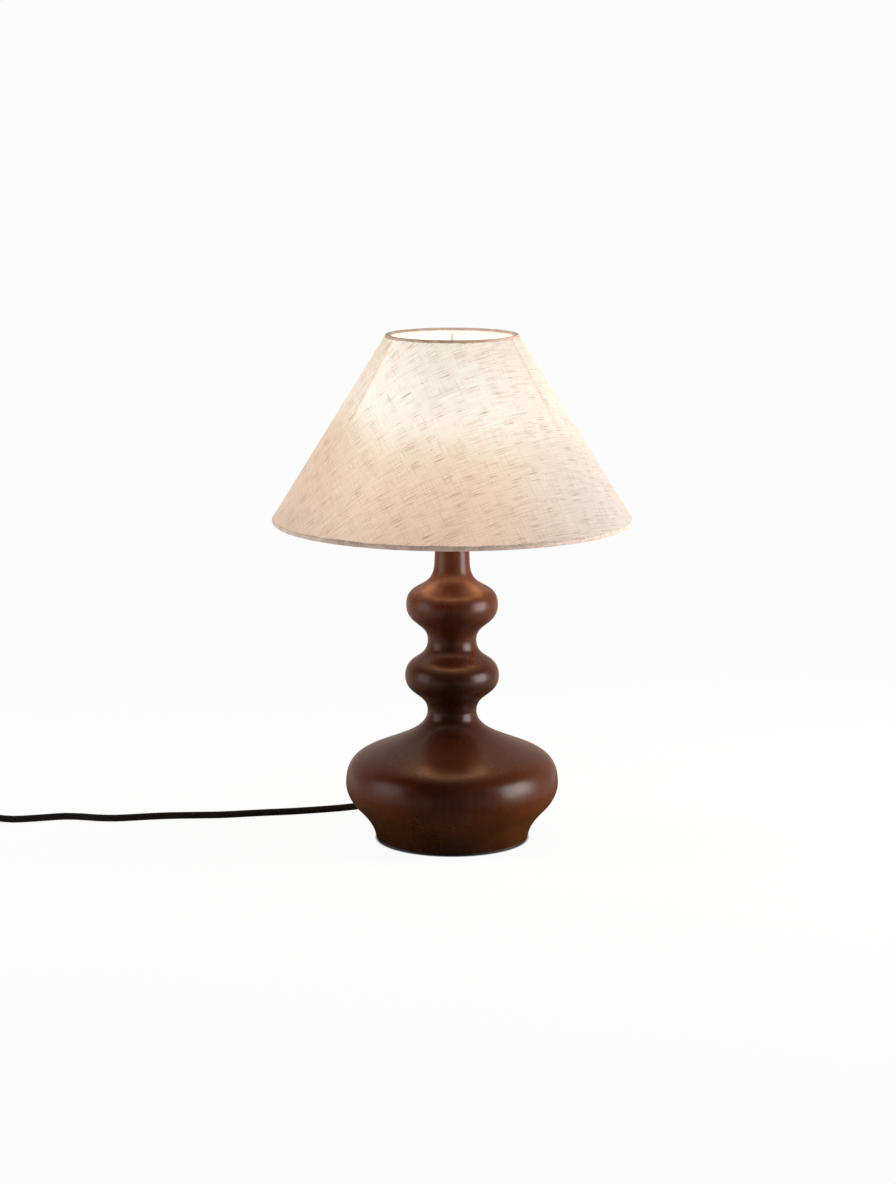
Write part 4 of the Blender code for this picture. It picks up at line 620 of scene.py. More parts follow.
def moulded_plastic(name, colour, second, smooth, rough, skin_scale=2200.0):
    """Moulded plastic with a fine eroded skin and worn, handled patches."""
    material, tree, shader = begin_finish(name)
    place = place_of(tree)
    skin = handle(tree, shader, place, Patch_scale=60.0, Skin_scale=skin_scale, Smooth=smooth, Rough=rough)
    drift = stepped(tree, noise(tree, place, 35.0, 3.0), 0.3, 0.7)
    paint(tree, shader, blended(tree, drift, (*colour, 1), (*second, 1)))
    bump(tree, shader, skin, 0.00004, 0.6)
    return material


def drawn_metal(name, bright, dull):
    """Zinc plate or brass with fine drawn lines and a little tarnish."""
    material, tree, shader = begin_finish(name, metallic=1.0)
    metal = grouped(tree, "drawn_metal", Place=place_of(tree), Bright=(*bright, 1), Dull=(*dull, 1))
    paint(tree, shader, metal["Colour"])
    tree.links.new(metal["Roughness"], shader.inputs["Roughness"])
    bump(tree, shader, metal["Lines"], 0.00003, 0.5)
    return material


def braided_textile():
    """Black textile braid: two sets of yarns that cross over and under each other round the lead, with painted
    shade where the yarns dip.
    """
    material, tree, shader = begin_finish("textile_cord", 0.85)
    apart = parts_of(tree, add(tree, "ShaderNodeUVMap", uv_map="braid").outputs[0])
    turn, length = apart[0], calc(tree, "DIVIDE", apart[1], BRAID_PITCH)
    yarns = []
    for side in (1, -1):
        strand = calc(tree, "MULTIPLY", calc(tree, "MULTIPLY_ADD", length, side, turn), math.tau * BRAID_ENDS)
        yarns.append(calc(tree, "SINE", strand))
    over = stepped(tree, calc(tree, "MULTIPLY", *yarns), -0.15, 0.15)
    first, second = (calc(tree, "POWER", calc(tree, "ABSOLUTE", yarn), 0.5) for yarn in yarns)
    height = mixed(tree, over, first, second)
    fibres = noise(tree, place_of(tree), 4200.0, 3.0)
    # The colour darkens where the yarns dip: painted shade between the yarns, on top of a random fibre tone.
    tone = calc(tree, "MULTIPLY", height, calc(tree, "MULTIPLY_ADD", fibres, 0.9, 0.35))
    paint(tree, shader, ramp(tree, tone, [(0.15, (0.0008, 0.0006, 0.0005)), (0.60, (0.0032, 0.0024, 0.0018)),
                                          (1.00, (0.0100, 0.0082, 0.0066))]))
    shader.inputs["Sheen Weight"].default_value = 0.04
    shader.inputs["Sheen Roughness"].default_value = 0.5
    shader.inputs["Specular IOR Level"].default_value = 0.25
    bump(tree, shader, calc(tree, "MULTIPLY_ADD", fibres, 0.3, height), 0.00025, 0.8)
    return material


def pressed_felt():
    """Dark pressed felt: short crossing fibres and a soft nap."""
    material, tree, shader = begin_finish("felt", 0.95)
    place = place_of(tree)
    nap = calc(tree, "MAXIMUM", *(noise(tree, place, 1500.0, 6.0, stretch)
                                  for stretch in ((1.0, 0.35, 1.0), (0.35, 1.0, 1.0))))
    paint(tree, shader, ramp(tree, nap, [(0.35, (0.006, 0.006, 0.007)), (0.75, (0.030, 0.029, 0.030))]))
    shader.inputs["Sheen Weight"].default_value = 0.3
    bump(tree, shader, nap, 0.0003, 0.7)
    return material


def sleeved_wire(name, colour):
    """Smooth coloured insulation of a single wire."""
    second = tuple(value * 0.7 for value in colour)
    return moulded_plastic(name, colour, second, 0.35, 0.5, 900.0)


def lit_linen():
    """Natural slub linen with the bulb's light coming through it, with painted shade at its two sides, painted
    shadows where the ribs lie and painted light in the middle of each panel.

    Angles run round the shade from its front, in radians, up to pi at the back seam.
    """
    material, tree, shader = begin_finish("linen", 0.95)
    flat = add(tree, "ShaderNodeUVMap", uv_map="cloth").outputs[0]
    threads = grouped(tree, "linen_threads", Flat_place=flat, Turn=THREAD_TURN)
    place = place_of(tree)
    apart = parts_of(tree, place)
    height = apart[2]
    drifted = calc(tree, "MULTIPLY_ADD", noise(tree, place, 16.0, 3.0), GLOW_DRIFT, height)
    glow = by_height(tree, drifted, GLOW_STOPS, GLOW_DRIFT / 2)
    from_front = calc(tree, "ARCTAN2", apart[0], calc(tree, "MULTIPLY", apart[1], -1.0))
    away = calc(tree, "ABSOLUTE", from_front)
    # Painted shade at the two sides, fading out towards the back seam: warmer and darker on the left, paler and
    # cooler on the right.
    behind = stepped(tree, away, 1.6, 2.6, 1.0, 0.0)
    upper = stepped(tree, height, 0.300, 0.375)
    edge = stepped(tree, from_front, -1.20, -0.50, 1.0, 0.0)
    past_rib = stepped(tree, from_front, -1.15, -1.00, 0.6, 0.0)
    left = mixed(tree, stepped(tree, height, 0.345, 0.385), edge, past_rib)
    right = stepped(tree, from_front, 0.10, 1.10)
    for side, side_shades in ((left, LEFT_PAINTED_SHADE), (right, RIGHT_PAINTED_SHADE)):
        share = calc(tree, "MULTIPLY", side, behind)
        glow = blended(tree, share, glow, blended(tree, upper, *side_shades), "MULTIPLY")
    # Painted shadow of the ribs, over the upper part of the shade.
    to_rib = calc(tree, "ABSOLUTE", calc(tree, "SUBTRACT", away, math.pi / 3))
    rib = calc(tree, "MULTIPLY", stepped(tree, to_rib, 0.010, 0.045, 0.55, 0.0),
               stepped(tree, height, 0.330, 0.385))
    glow = blended(tree, rib, glow, RIB_PAINTED_SHADOW, "MULTIPLY")
    # Painted light in the middle of each panel between the ribs.
    middle = stepped(tree, calc(tree, "PINGPONG", from_front, math.pi / 3), 0.0, 0.9, 0.25, 0.0)
    glow = blended(tree, middle, glow, PANEL_PAINTED_LIGHT, "MULTIPLY")
    cloth = ramp(tree, threads["Tone"], [(0.30, (0.84, 0.77, 0.69)), (0.50, (0.97, 0.95, 0.93)),
                                         (0.66, (1.05, 1.05, 1.05))])
    glow = blended(tree, 1.0, glow, cloth, "MULTIPLY")
    shine(tree, shader, blended(tree, threads["Slubs"], glow, SLUB_TINT, "MULTIPLY"))
    paint(tree, shader, blended(tree, threads["Slubs"], LINEN_BASE, SLUB_BASE))
    bump(tree, shader, threads["Height"], 0.00025, 0.5)
    return material


def hem_linen():
    """Linen folded over the ring wire: dim where it lies double, bright inside with the bulb's light, with a
    painted shadow of the top wire inside it and painted light on its side towards the right.
    """
    material, tree, shader = begin_finish("hem", 0.95)
    coordinates = add(tree, "ShaderNodeTexCoord").outputs
    place = coordinates["Object"]
    height = parts_of(tree, place)[2]
    yarns = noise(tree, place, 700.0, 3.0, (1.0, 1.0, 2.2))
    spots = noise(tree, place, 130.0, 4.0)
    tone = calc(tree, "MULTIPLY_ADD", yarns, 0.5, calc(tree, "MULTIPLY", spots, 0.5))
    cloth = ramp(tree, tone, [(0.36, (0.23, 0.175, 0.150)), (0.52, (0.34, 0.275, 0.240)),
                              (0.66, (0.43, 0.365, 0.325))])
    paint(tree, shader, cloth)
    out = vector_calc(tree, "NORMALIZE", vector_calc(tree, "MULTIPLY", place, (1, 1, 0))[0])[0]
    outward = vector_calc(tree, "DOT_PRODUCT", coordinates["Normal"], out)["Value"]
    # Painted light: the hem's glow is made stronger on its side towards the right and the back.
    painted_light_from_right = vector_calc(tree, "DOT_PRODUCT", out, (0.27, 0.12, 0))["Value"]
    inner = stepped(tree, outward, -0.10, 0.05, 1.0, 0.0)
    # Painted shadow of the top wire on the hem's inside, above the wire's middle.
    clear_of_wire_shadow = stepped(tree, height, TOP_RING.y - 0.0006, TOP_RING.y + 0.0004, 1.0, 0.12)
    dim = blended(tree, stepped(tree, height, 0.30, 0.40), (0.56, 0.49, 0.42, 1), (0.78, 0.60, 0.47, 1))
    dim = blended(tree, 1.0, dim, cloth, "MULTIPLY")
    dim = vector_calc(tree, "MULTIPLY", dim, calc(tree, "ADD", painted_light_from_right, 1.15))[0]
    lit = blended(tree, stepped(tree, spots, 0.3, 0.7), (0.82, 0.72, 0.62, 1), (0.90, 0.84, 0.76, 1))
    shine(tree, shader, blended(tree, calc(tree, "MULTIPLY", inner, clear_of_wire_shadow), dim, lit))
    bump(tree, shader, yarns, 0.0004, 0.8)
    return material


def shade_liner():
    """Translucent film on the inside of the shade, bright with the light that falls on it, and dimmer and
    warmer in reflections: a painted reflection colour.
    """
    material, tree, shader = begin_finish("liner", 0.7)
    place = place_of(tree)
    height = calc(tree, "DIVIDE", calc(tree, "SUBTRACT", parts_of(tree, place)[2], 0.27), 0.16, clamp=True)
    glow = ramp(tree, height, [(0.0, (0.62, 0.50, 0.36)), (0.45, (0.92, 0.80, 0.62)),
                               (0.80, (1.25, 1.15, 0.95)), (1.0, (1.02, 0.96, 0.84))])
    fine = stepped(tree, noise(tree, place, 300.0, 3.0), 0.35, 0.65, 0.0, 0.5)
    glow = blended(tree, fine, glow, (0.94, 0.92, 0.89, 1), "MULTIPLY")
    # Painted reflection colour: seen in gloss, the film glows dimmer and warmer than it does to the camera.
    mirrored = add(tree, "ShaderNodeLightPath").outputs["Is Glossy Ray"]
    shine(tree, shader, blended(tree, mirrored, glow, (0.42, 0.19, 0.09, 1)))
    drift = noise(tree, place, 40.0, 3.0)
    paint(tree, shader, blended(tree, drift, (0.62, 0.60, 0.55, 1), (0.50, 0.48, 0.44, 1)))
    handle(tree, shader, place, Skin_scale=900.0, Smooth=0.55, Rough=0.75)
    return material


def opal_glow():
    """Opal bulb dome, brightest in its middle."""
    material, tree, shader = begin_finish("opal_dome", 0.35)
    facing = add(tree, "ShaderNodeLayerWeight", {"Blend": 0.35}).outputs["Facing"]
    frost = noise(tree, place_of(tree), 900.0, 2.0)
    glow = ramp(tree, facing, [(0.0, (1.0, 0.60, 0.33)), (0.7, (1.0, 0.55, 0.29)), (1.0, (0.9, 0.46, 0.24))])
    glow = blended(tree, calc(tree, "MULTIPLY", frost, 0.12), glow, (0.8, 0.7, 0.6, 1), "MULTIPLY")
    shine(tree, shader, glow, 4.0)
    shader.inputs["Base Color"].default_value = (0.80, 0.79, 0.76, 1)
    bump(tree, shader, frost, 0.00002, 0.5)
    return material


PLASTICS = {
    "black_plastic": ((0.013, 0.013, 0.014), (0.021, 0.021, 0.022), 0.38, 0.55),
    "white_plastic": ((0.72, 0.70, 0.66), (0.62, 0.60, 0.55), 0.32, 0.48),
    "coated_wire": ((0.70, 0.66, 0.58), (0.56, 0.52, 0.45), 0.35, 0.55, 1500.0),
    "board": ((0.58, 0.57, 0.53), (0.48, 0.46, 0.41), 0.45, 0.6),
}
FINISHES = {
    "dark_wood": lacquered_wood(),
    "felt": pressed_felt(),
    "textile_cord": braided_textile(),
    "linen": lit_linen(),
    "hem": hem_linen(),
    "liner": shade_liner(),
    "opal_dome": opal_glow(),
    "zinc_steel": drawn_metal("zinc_steel", (0.66, 0.67, 0.69), (0.42, 0.42, 0.43)),
    "brass": drawn_metal("brass", (0.78, 0.55, 0.24), (0.48, 0.31, 0.13)),
    "lead_brown": sleeved_wire("lead_brown", (0.090, 0.035, 0.014)),
    "lead_blue": sleeved_wire("lead_blue", (0.020, 0.090, 0.260)),
    **{name: moulded_plastic(name, *looks) for name, looks in PLASTICS.items()},
}
for lit in ("linen", "hem", "liner"):
    FINISHES[lit].cycles.emission_sampling = "NONE"


def dress_cad():
    """Give every node that stays a CAD piece the finish of its own slot."""
    for part in frame["record"]["subparts"]:
        node = frame["nodes"][part["node"]]
        node.data.materials.clear()
        node.data.materials.append(FINISHES[part["material_slot"]])


def eased(outline, reach, steps=4, least_turn=math.radians(25)):
    """A closed outline whose sharp corners are eased by small curves."""
    corners = [Vector(point) for point in outline]
    points = []
    for index, corner in enumerate(corners):
        back = corners[index - 1] - corner
        ahead = corners[(index + 1) % len(corners)] - corner
        if corner.x < CONTACT_GAP / 2 or back.angle(-ahead) < least_turn:
            points.append(corner)
            continue
        cut = min(reach, back.length * 0.45, ahead.length * 0.45)
        start, end = corner + back.normalized() * cut, corner + ahead.normalized() * cut
        for step in range(steps + 1):
            share = step / steps
            points.append(start.lerp(corner, share).lerp(corner.lerp(end, share), share))
    return points


def boxed(inner, outer, low, high):
    """The outline of a plain ring or disc, between two radii and two heights."""
    return [(inner, low), (outer, low), (outer, high), (inner, high)]


def flat_place(turn, radius):
    """Where a point of the cone lies on its cloth laid flat, from its turn past the back seam."""
    spread = (turn - math.pi) * CONE_SHARE
    slant = radius / CONE_SHARE
    return slant * math.sin(spread), -slant * math.cos(spread)


def ringed(name, outline_at, sides, seat=0.0, cloth=False):
    """Close a ring of outlines, each given by its angle, into one piece, with its cloth map if asked."""
    bm = bmesh.new()
    layer = bm.loops.layers.uv.new("cloth") if cloth else None
    rings = []
    for side in range(sides):
        angle = SEAM_ANGLE + math.tau * side / sides
        rings.append([bm.verts.new(at_turn(radius, angle, seat + height))
                      for radius, height in outline_at(angle)])
    count = len(rings[0])
    for side, ring in enumerate(rings):
        following = rings[(side + 1) % sides]
        for index in range(count):
            after = (index + 1) % count
            if ring[index].co.xy.length + ring[after].co.xy.length < 0.00001:
                continue
            face = bm.faces.new((ring[index], following[index], following[after], ring[after]))
            if cloth:
                for loop, turn in zip(face.loops, (side, side + 1, side + 1, side)):
                    loop[layer].uv = flat_place(math.tau * turn / sides, loop.vert.co.xy.length)
    return piece_from(bm, name)


def turned(name, outline, sides=ROUND_SIDES, seat=0.0):
    """Turn a closed outline of (radius, height) round the lamp's axis."""
    return ringed(name, lambda angle: outline, sides, seat)


def cut_out(piece, *cutters):
    """Take cutters out of a piece, and take the cutters away."""
    for cutter in cutters:
        cut = piece.modifiers.new("cut", "BOOLEAN")
        cut.object = cutter
        cut.solver = "EXACT"
    bpy.context.view_layer.update()
    seen = piece.evaluated_get(bpy.context.evaluated_depsgraph_get())
    mesh = bpy.data.meshes.new_from_object(seen)
    piece.modifiers.clear()
    piece.data = mesh
    mesh.set_sharp_from_angle(angle=SHARP_ANGLE)
    for cutter in cutters:
        bpy.data.objects.remove(cutter)
    return piece


def laid(piece, turn, spot=(0, 0, 0)):
    """Turn a piece's mesh and set it down at a spot."""
    piece.data.transform(Matrix.Translation(spot) @ turn)
    return piece


def wood_outline(stations):
    """The turned outline through neighbouring stations."""
    points = [Vector(stations[0][:2])]
    for start, end in zip(stations, stations[1:]):
        low, high = Vector(start[:2]), Vector(end[:2])
        chord = (high - low).length
        leaving = low + Vector(start[2]).normalized() * chord * start[4]
        arriving = high - Vector(end[2]).normalized() * chord * end[3]
        line = (point.to_3d() for point in (low, leaving, arriving, high))
        points += [point.xy for point in interpolate_bezier(*line, WOOD_STEPS + 1)[1:]]
    return points


def make_wood():
    """Bowl with its recess, socket and lead hole, and stem with its tenon."""
    waist = WOOD_STATIONS[WAIST_STATION][1]
    socket_low, socket_radius = waist - TENON_LENGTH - CONTACT_GAP, TENON_RADIUS + CONTACT_GAP
    foot = WOOD_STATIONS[0][0]
    outline = [(RECESS_RADIUS + 0.0010, WOOD_BOTTOM), (foot - 0.0009, WOOD_BOTTOM),
               (foot - 0.0002, WOOD_BOTTOM + 0.0004), *wood_outline(WOOD_STATIONS[:WAIST_STATION + 1]),
               (socket_radius, waist), (socket_radius, socket_low), (BORE_RADIUS, socket_low),
               (BORE_RADIUS, RECESS_CEILING), (RECESS_RADIUS - 0.0010, RECESS_CEILING),
               (RECESS_RADIUS, RECESS_CEILING - 0.0010), (RECESS_RADIUS, WOOD_BOTTOM + 0.0010)]
    bowl = turned("turned_bowl", outline, FINE_SIDES)
    hole = turned("lead_hole", [
        (0, RECESS_RADIUS - 0.002), (0.0033, RECESS_RADIUS - 0.002), (0.0033, 0.0528), (0.0050, 0.0528),
        (0.0050, 0.0648), (0.0071, 0.0648), (0.0071, 0.0920), (0, 0.0920)], SMALL_SIDES)
    cut_out(bowl, laid(hole, LAID_BACK, (0, 0, CORD_EXIT.z)))
    dress(bowl, "dark_wood", "lamp", "wood_bowl")

    neck, tenon_low = WOOD_STATIONS[-1][0], waist - TENON_LENGTH
    outline = [(BORE_RADIUS, tenon_low), (TENON_RADIUS - 0.0008, tenon_low), (TENON_RADIUS, tenon_low + 0.0008),
               (TENON_RADIUS, waist), *wood_outline(WOOD_STATIONS[WAIST_STATION:])]
    outline += eased([(neck, NECK_TOP), (BORE_RADIUS, NECK_TOP), (BORE_RADIUS, NECK_TOP - 0.004)],
                     NECK_EASE, 6)[:-7]
    dress(turned("turned_stem", outline, FINE_SIDES), "dark_wood", "lamp", "wood_stem")


def make_felt_and_bushing():
    """The felt under the foot, and the ribbed bushing that the lead leaves by."""
    disc = eased(boxed(0, radius_of("felt_pad"), 0, top_of("felt_pad")), 0.0005)
    dress(turned("felt_disc", disc, FINE_SIDES), "felt", "lamp", "felt_pad")

    bore, rib_count = 0.0033, 7
    seat, flange, end = 0.0651, 0.0666, CORD_EXIT.y - CONTACT_GAP
    outline = [(bore, 0.0531), (0.0047, 0.0531), (0.0047, seat), (0.0065, seat), (0.0065, flange),
               (0.0052, flange), (0.0048, flange + 0.0010)]
    pitch = (end - flange - 0.0030) / rib_count
    for rib in range(rib_count):
        low = flange + 0.0016 + pitch * rib
        width = 0.0048 - 0.0006 * rib / rib_count
        outline += [(width, low + pitch * 0.1 / 3), (width, low + pitch * 1.6 / 3),
                    (width - 0.0006, low + pitch * 1.9 / 3), (width - 0.0006, low + pitch * 2.8 / 3)]
    outline += [(0.0042, end - 0.0010), (0.0042, end), (bore, end)]
    bushing = turned("lead_bushing", eased(outline, 0.0004, 3), SMALL_SIDES)
    dress(laid(bushing, LAID_BACK, (0, 0, CORD_EXIT.z)), "black_plastic", "lamp", "cord_bushing")


def threaded(name, below, low, high, above, pitch, depth, wall=None, steps=8):
    """A turned piece with a helical thread between two (radius, height) points, or a thin wall with one."""
    count = max(2, round((high[1] - low[1]) / pitch * steps))
    ease = pitch * 0.6

    def outline_at(angle):
        thread = []
        for step in range(count + 1):
            share = step / count
            radius = low[0] + (high[0] - low[0]) * share
            height = low[1] + (high[1] - low[1]) * share
            fade = min(1.0, (height - low[1]) / ease, (high[1] - height) / ease)
            phase = (height / pitch - angle / math.tau) % 1.0
            wave = 0.5 - 0.5 * math.cos(math.tau * phase)
            thread.append((radius - depth * (1 - wave) * max(fade, 0), height))
        outer = [(radius + wall, height) for radius, height in reversed(thread)] if wall else []
        return below + thread + above + outer

    return ringed(name, outline_at, ROUND_SIDES, NECK_TOP)


def make_lampholder():
    """Cap, outer shell with its collar and thread, insert and corrugated thread shell."""
    cap = eased([(BORE_RADIUS, 0.0018), (0.0140, 0.0018), (0.0140, 0.0198), (0.0124, 0.0198), (0.0124, 0.0043),
                 (BORE_RADIUS, 0.0043)], 0.0009)
    dress(turned("holder_cap_moulding", cap, ROUND_SIDES, NECK_TOP), "black_plastic", "lamp", "holder_cap")

    below = [(0.0109, 0.0158), (0.0121, 0.0158), (0.0121, 0.0201), (0.0137, 0.0201), (0.0140, 0.0204),
             (0.0140, 0.0217), (0.0143, 0.0220), (0.0176, 0.0220), (0.0180, 0.0224), (0.0180, 0.0246),
             (0.0176, 0.0250)]
    shell = threaded("holder_shell_moulding", below, (0.0137, 0.0250), (0.0137, 0.0522),
                     [(0.0129, 0.0530), (0.0113, 0.0530), (0.0109, 0.0526)], 0.0022, 0.0007)
    dress(shell, "black_plastic", "lamp", "holder_shell")

    insert_top, well, mouth, slot_low = 0.0505, 0.0070, 0.00805, 0.010
    insert = turned("holder_insert_moulding", eased([
        (0, 0.0132), (0.0106, 0.0132), (0.0106, insert_top), (mouth, insert_top), (mouth, 0.0259),
        (well, 0.0259), (well, 0.0212), (0, 0.0212)], 0.0004), ROUND_SIDES, NECK_TOP)
    slots = []
    for side in (1, -1):
        slot = turned("contact_slot", boxed(0, 0.00055, slot_low, 0.0220), SMALL_SIDES, NECK_TOP)
        hole = turned("terminal_hole", boxed(0, 0.0015, slot_low, 0.0176), SMALL_SIDES, NECK_TOP)
        slots += [laid(slot, Matrix.Diagonal((1, 4.2, 1, 1)), (side * 0.0055, 0, 0)),
                  laid(hole, UPRIGHT, (side * 0.0079, 0, 0))]
    cut_out(insert, *slots)
    dress(insert, "white_plastic", "lamp", "holder_insert")

    lining = threaded("holder_thread_lining", [(0.0052, 0.0262), (well, 0.0262)], (0.00745, 0.0270),
                      (0.00745, 0.0500), [], BULB_PITCH, 0.0004, wall=0.0003)
    dress(lining, "brass", "lamp", "holder_thread_shell")


def neck_side(low, high, hold, steps):
    """The bulb neck's flowing side from its narrow foot to the dome."""
    low, high = Vector((*low, 0)), Vector((*high, 0))
    reach = Vector((0, (high - low).length * hold, 0))
    return [tuple(point.xy) for point in interpolate_bezier(low, low + reach, high - reach, high, steps)]


def make_bulb():
    """Contact tip, insulator, thread cap, neck and opal dome."""
    tip = eased(boxed(0, 0.0024, 0.0279, 0.0301), 0.0009, 6)
    dress(turned("bulb_contact_tip", tip, SMALL_SIDES, NECK_TOP), "zinc_steel", "bulb_contact", "bulb_tip")
    cone = eased([(0, 0.0304), (0.0030, 0.0304), (0.0058, 0.0332), (0, 0.0332)], 0.0004)
    dress(turned("bulb_black_glass", cone, SMALL_SIDES, NECK_TOP), "black_plastic", "bulb", "bulb_insulator")
    cap = threaded("bulb_thread_cap", [(0, 0.0335), (0.0049, 0.0335), (0.0062, 0.0341)], (0.0069, 0.0355),
                   (0.0069, 0.0495), [(0.0069, 0.0515), (0, 0.0515)], BULB_PITCH, 0.00045)
    dress(cap, "zinc_steel", "bulb", "bulb_cap")
    low, high = (0.0072, 0.0518), (0.0180, 0.0748)
    neck = turned("bulb_neck_shell", [(0, low[1]), *neck_side(low, high, 0.35, 24), (0, high[1])], ROUND_SIDES,
                  NECK_TOP)
    dress(neck, "white_plastic", "bulb", "bulb_neck")
    board, mouth, dome, wall = 0.0751, 0.0177, 0.0225, 0.0010
    centre = board + math.sqrt(dome ** 2 - mouth ** 2)
    outline = []
    for radius, order in ((dome, 1), (dome - wall, -1)):
        lowest = -math.asin((centre - board) / radius)
        arc = []
        for step in range(33):
            angle = math.pi / 2 + (lowest - math.pi / 2) * step / 32
            arc.append((radius * math.cos(angle) if step else 0, centre + radius * math.sin(angle)))
        outline += arc[::order]
    dress(turned("bulb_opal_dome", outline, ROUND_SIDES, NECK_TOP), "opal_dome", "bulb", "bulb_dome")


def on_cone(base, up, out):
    """A point beside the cone's line: so far up it from a ring wire, and so far out of it."""
    return tuple(base + SLOPE_WAY * up + OUT_WAY * out)


def uneven(angle, seed):
    """A smooth uneven value round the shade, from about -1 to 1."""
    return (math.sin(angle * 5 + seed) + math.sin(angle * 11 + seed * 2.3) + math.sin(angle * 23 + seed * 4.1)
            + 0.8 * math.sin(angle * 41 + seed * 1.7)) / 3.2


def make_back_seam(low, high):
    """The lapped and glued edge of the linen down the back."""
    loops, places = [], []
    for step in range(SLOPE_STEPS + 1):
        up = low + (SLOPE_LENGTH + high - low) * step / SLOPE_STEPS
        loops.append([])
        places.append([])
        for side, lift in ((-1, 0), (1, 0), (0.94, SEAM_THICKNESS), (-0.94, SEAM_THICKNESS)):
            radius, height = on_cone(BOTTOM_RING, up, FABRIC_OUT + lift)
            turn = side * SEAM_WIDTH / 2 / radius
            loops[-1].append(at_turn(radius, SEAM_ANGLE + turn, height))
            places[-1].append(flat_place(math.tau + turn, radius))
    seam = stacked("shade_back_seam", loops, layer="cloth", flat=lambda side, step: places[step][side % 4])
    return dress(seam, "linen", "shade")


def make_cone(name, finish, near, far, node, low, high):
    """One thin layer of the shade, between two distances out from the ring wires."""
    slope = [on_cone(BOTTOM_RING, low + (SLOPE_LENGTH + high - low) * step / SLOPE_STEPS, far)
             for step in range(SLOPE_STEPS + 1)]
    outline = [on_cone(BOTTOM_RING, low, near), *slope, on_cone(TOP_RING, high, near)]
    return dress(ringed(name, lambda angle: outline, FINE_SIDES, cloth=True), finish, "shade", node)


def make_hem(name, ring, way, full, end, reach, seed, node):
    """The strip of linen folded over a ring wire, with its uneven edges."""
    wire = WIRE_RADIUS + 0.0002

    def outline_at(angle):
        fold = full + 0.00012 * uneven(angle, seed + 3)
        outer = way * (reach + 0.00045 * uneven(angle, seed))
        inner = way * (HEM_INNER_REACH + 0.0004 * uneven(angle, seed + 1))
        outside, inside = ([on_cone(ring, way * math.cos(turn) * tip, math.sin(turn) * radius)
                            for turn in (math.pi / 2 + math.pi * step / 12 for step in range(13))]
                           for radius, tip in ((fold, end), (wire, WIRE_RADIUS + 0.0001)))
        return [on_cone(ring, outer - way * 0.0002, fold), *outside, on_cone(ring, inner, 0.0003 - fold),
                on_cone(ring, inner, -wire), *inside[::-1], on_cone(ring, outer, wire + 0.0002),
                on_cone(ring, outer, fold - 0.0002)]

    return dress(ringed(name, outline_at, FINE_SIDES * 2), "hem", "shade", node)


def make_shade_cloth():
    """Linen, its glued back seam, the film inside it and the hems over the ring wires."""
    low, high = 0.0006, -0.0020
    linen = make_cone("shade_linen", "linen", FABRIC_IN, FABRIC_OUT, "shade_fabric", low, high)
    make_cone("shade_film", "liner", LINER_IN, LINER_OUT, "shade_liner", low, high)
    hems = [make_hem("shade_lower_hem", BOTTOM_RING, 1, 0.0026, 0.0022, 0.0010, 0.4, "bottom_hem"),
            make_hem("shade_upper_hem", TOP_RING, -1, 0.0025, 0.0016, 0.0023, 2.1, "top_hem")]
    seam = make_back_seam(low + 0.0012, high - 0.0012)


def bar(name, node, start, end, radius, root, run):
    """A round bar of the frame that swells into a small weld at both ends."""
    way = (end - start).normalized()
    length = (end - start).length
    half = [(0, root), (run * 0.3, root * 0.96), (run * 0.65, radius + (root - radius) * 0.3), (run, radius)]
    stations = half + [(length / 2, radius)] + [(length - place, size) for place, size in reversed(half)]
    points = [start + way * place for place, size in stations]
    piece = stacked(name, round_loops(points, [size for place, size in stations], SMALL_SIDES))
    dress(piece, "coated_wire", "shade", node)


def make_shade_frame():
    """Three ribs and arms with their welds, and the gallery that sits on the holder's collar."""
    edge, low, high = radius_of("gallery_ring"), bottom_of("gallery_ring"), top_of("gallery_ring")
    rib_ends = on_cone(BOTTOM_RING, 0.0016, 0), on_cone(TOP_RING, -0.0016, 0)
    meets = on_cone(BOTTOM_RING, 0.0095, -WIRE_RADIUS)
    arm_ends = (edge + CONTACT_GAP, (low + high) / 2), (meets[0] - 0.0009, meets[1])
    for number, angle in enumerate(RIB_ANGLES, 1):
        for kind, ends, looks in (("rib", rib_ends, (WIRE_RADIUS, 0.00145, 0.0030)),
                                  ("arm", arm_ends, (0.0015, 0.0018, 0.0040))):
            start, end = (at_turn(radius, angle, height) for radius, height in ends)
            bar(f"shade_{kind}_{number}", f"{kind}_{number}", start, end, *looks)
    gallery = turned("shade_gallery", eased(boxed(GALLERY_BORE, edge, low, high), 0.0005))
    dress(gallery, "coated_wire", "shade", "gallery_ring")


def make_clamp_ring():
    """The ring that is screwed down on the gallery, with rounded finger ribs."""
    low, high = bottom_of("shade_ring"), top_of("shade_ring")
    ribs, inner, outer, depth = 24, GALLERY_BORE, 0.0178, 0.0010

    def outline_at(angle):
        wave = 0.5 + 0.5 * math.cos(angle * ribs)
        full = outer + depth * wave ** 0.7
        return [(inner, low + 0.0003), (inner + 0.0003, low), (full - 0.0006, low), (full, low + 0.0006),
                (full, high - 0.0010), (full - 0.0004, high - 0.0003), (full - 0.0010, high),
                (inner + 0.0006, high), (inner, high - 0.0006)]

    dress(ringed("clamp_ring", outline_at, ribs * 10), "black_plastic", "shade_ring", "shade_ring")


def switch_outline(inset, steps=40):
    """The switch's outline from above, drawn in by an inset."""
    half_length, half_width = SWITCH_LENGTH / 2 - inset, SWITCH_HALF_WIDTH - inset
    side = []
    for step in range(steps + 1):
        share = -math.cos(math.pi * step / steps)
        side.append((half_length * share, half_width * (1 - 0.54 * abs(share) ** 3.2)))
    return [(x, -y) for x, y in side] + side[::-1]


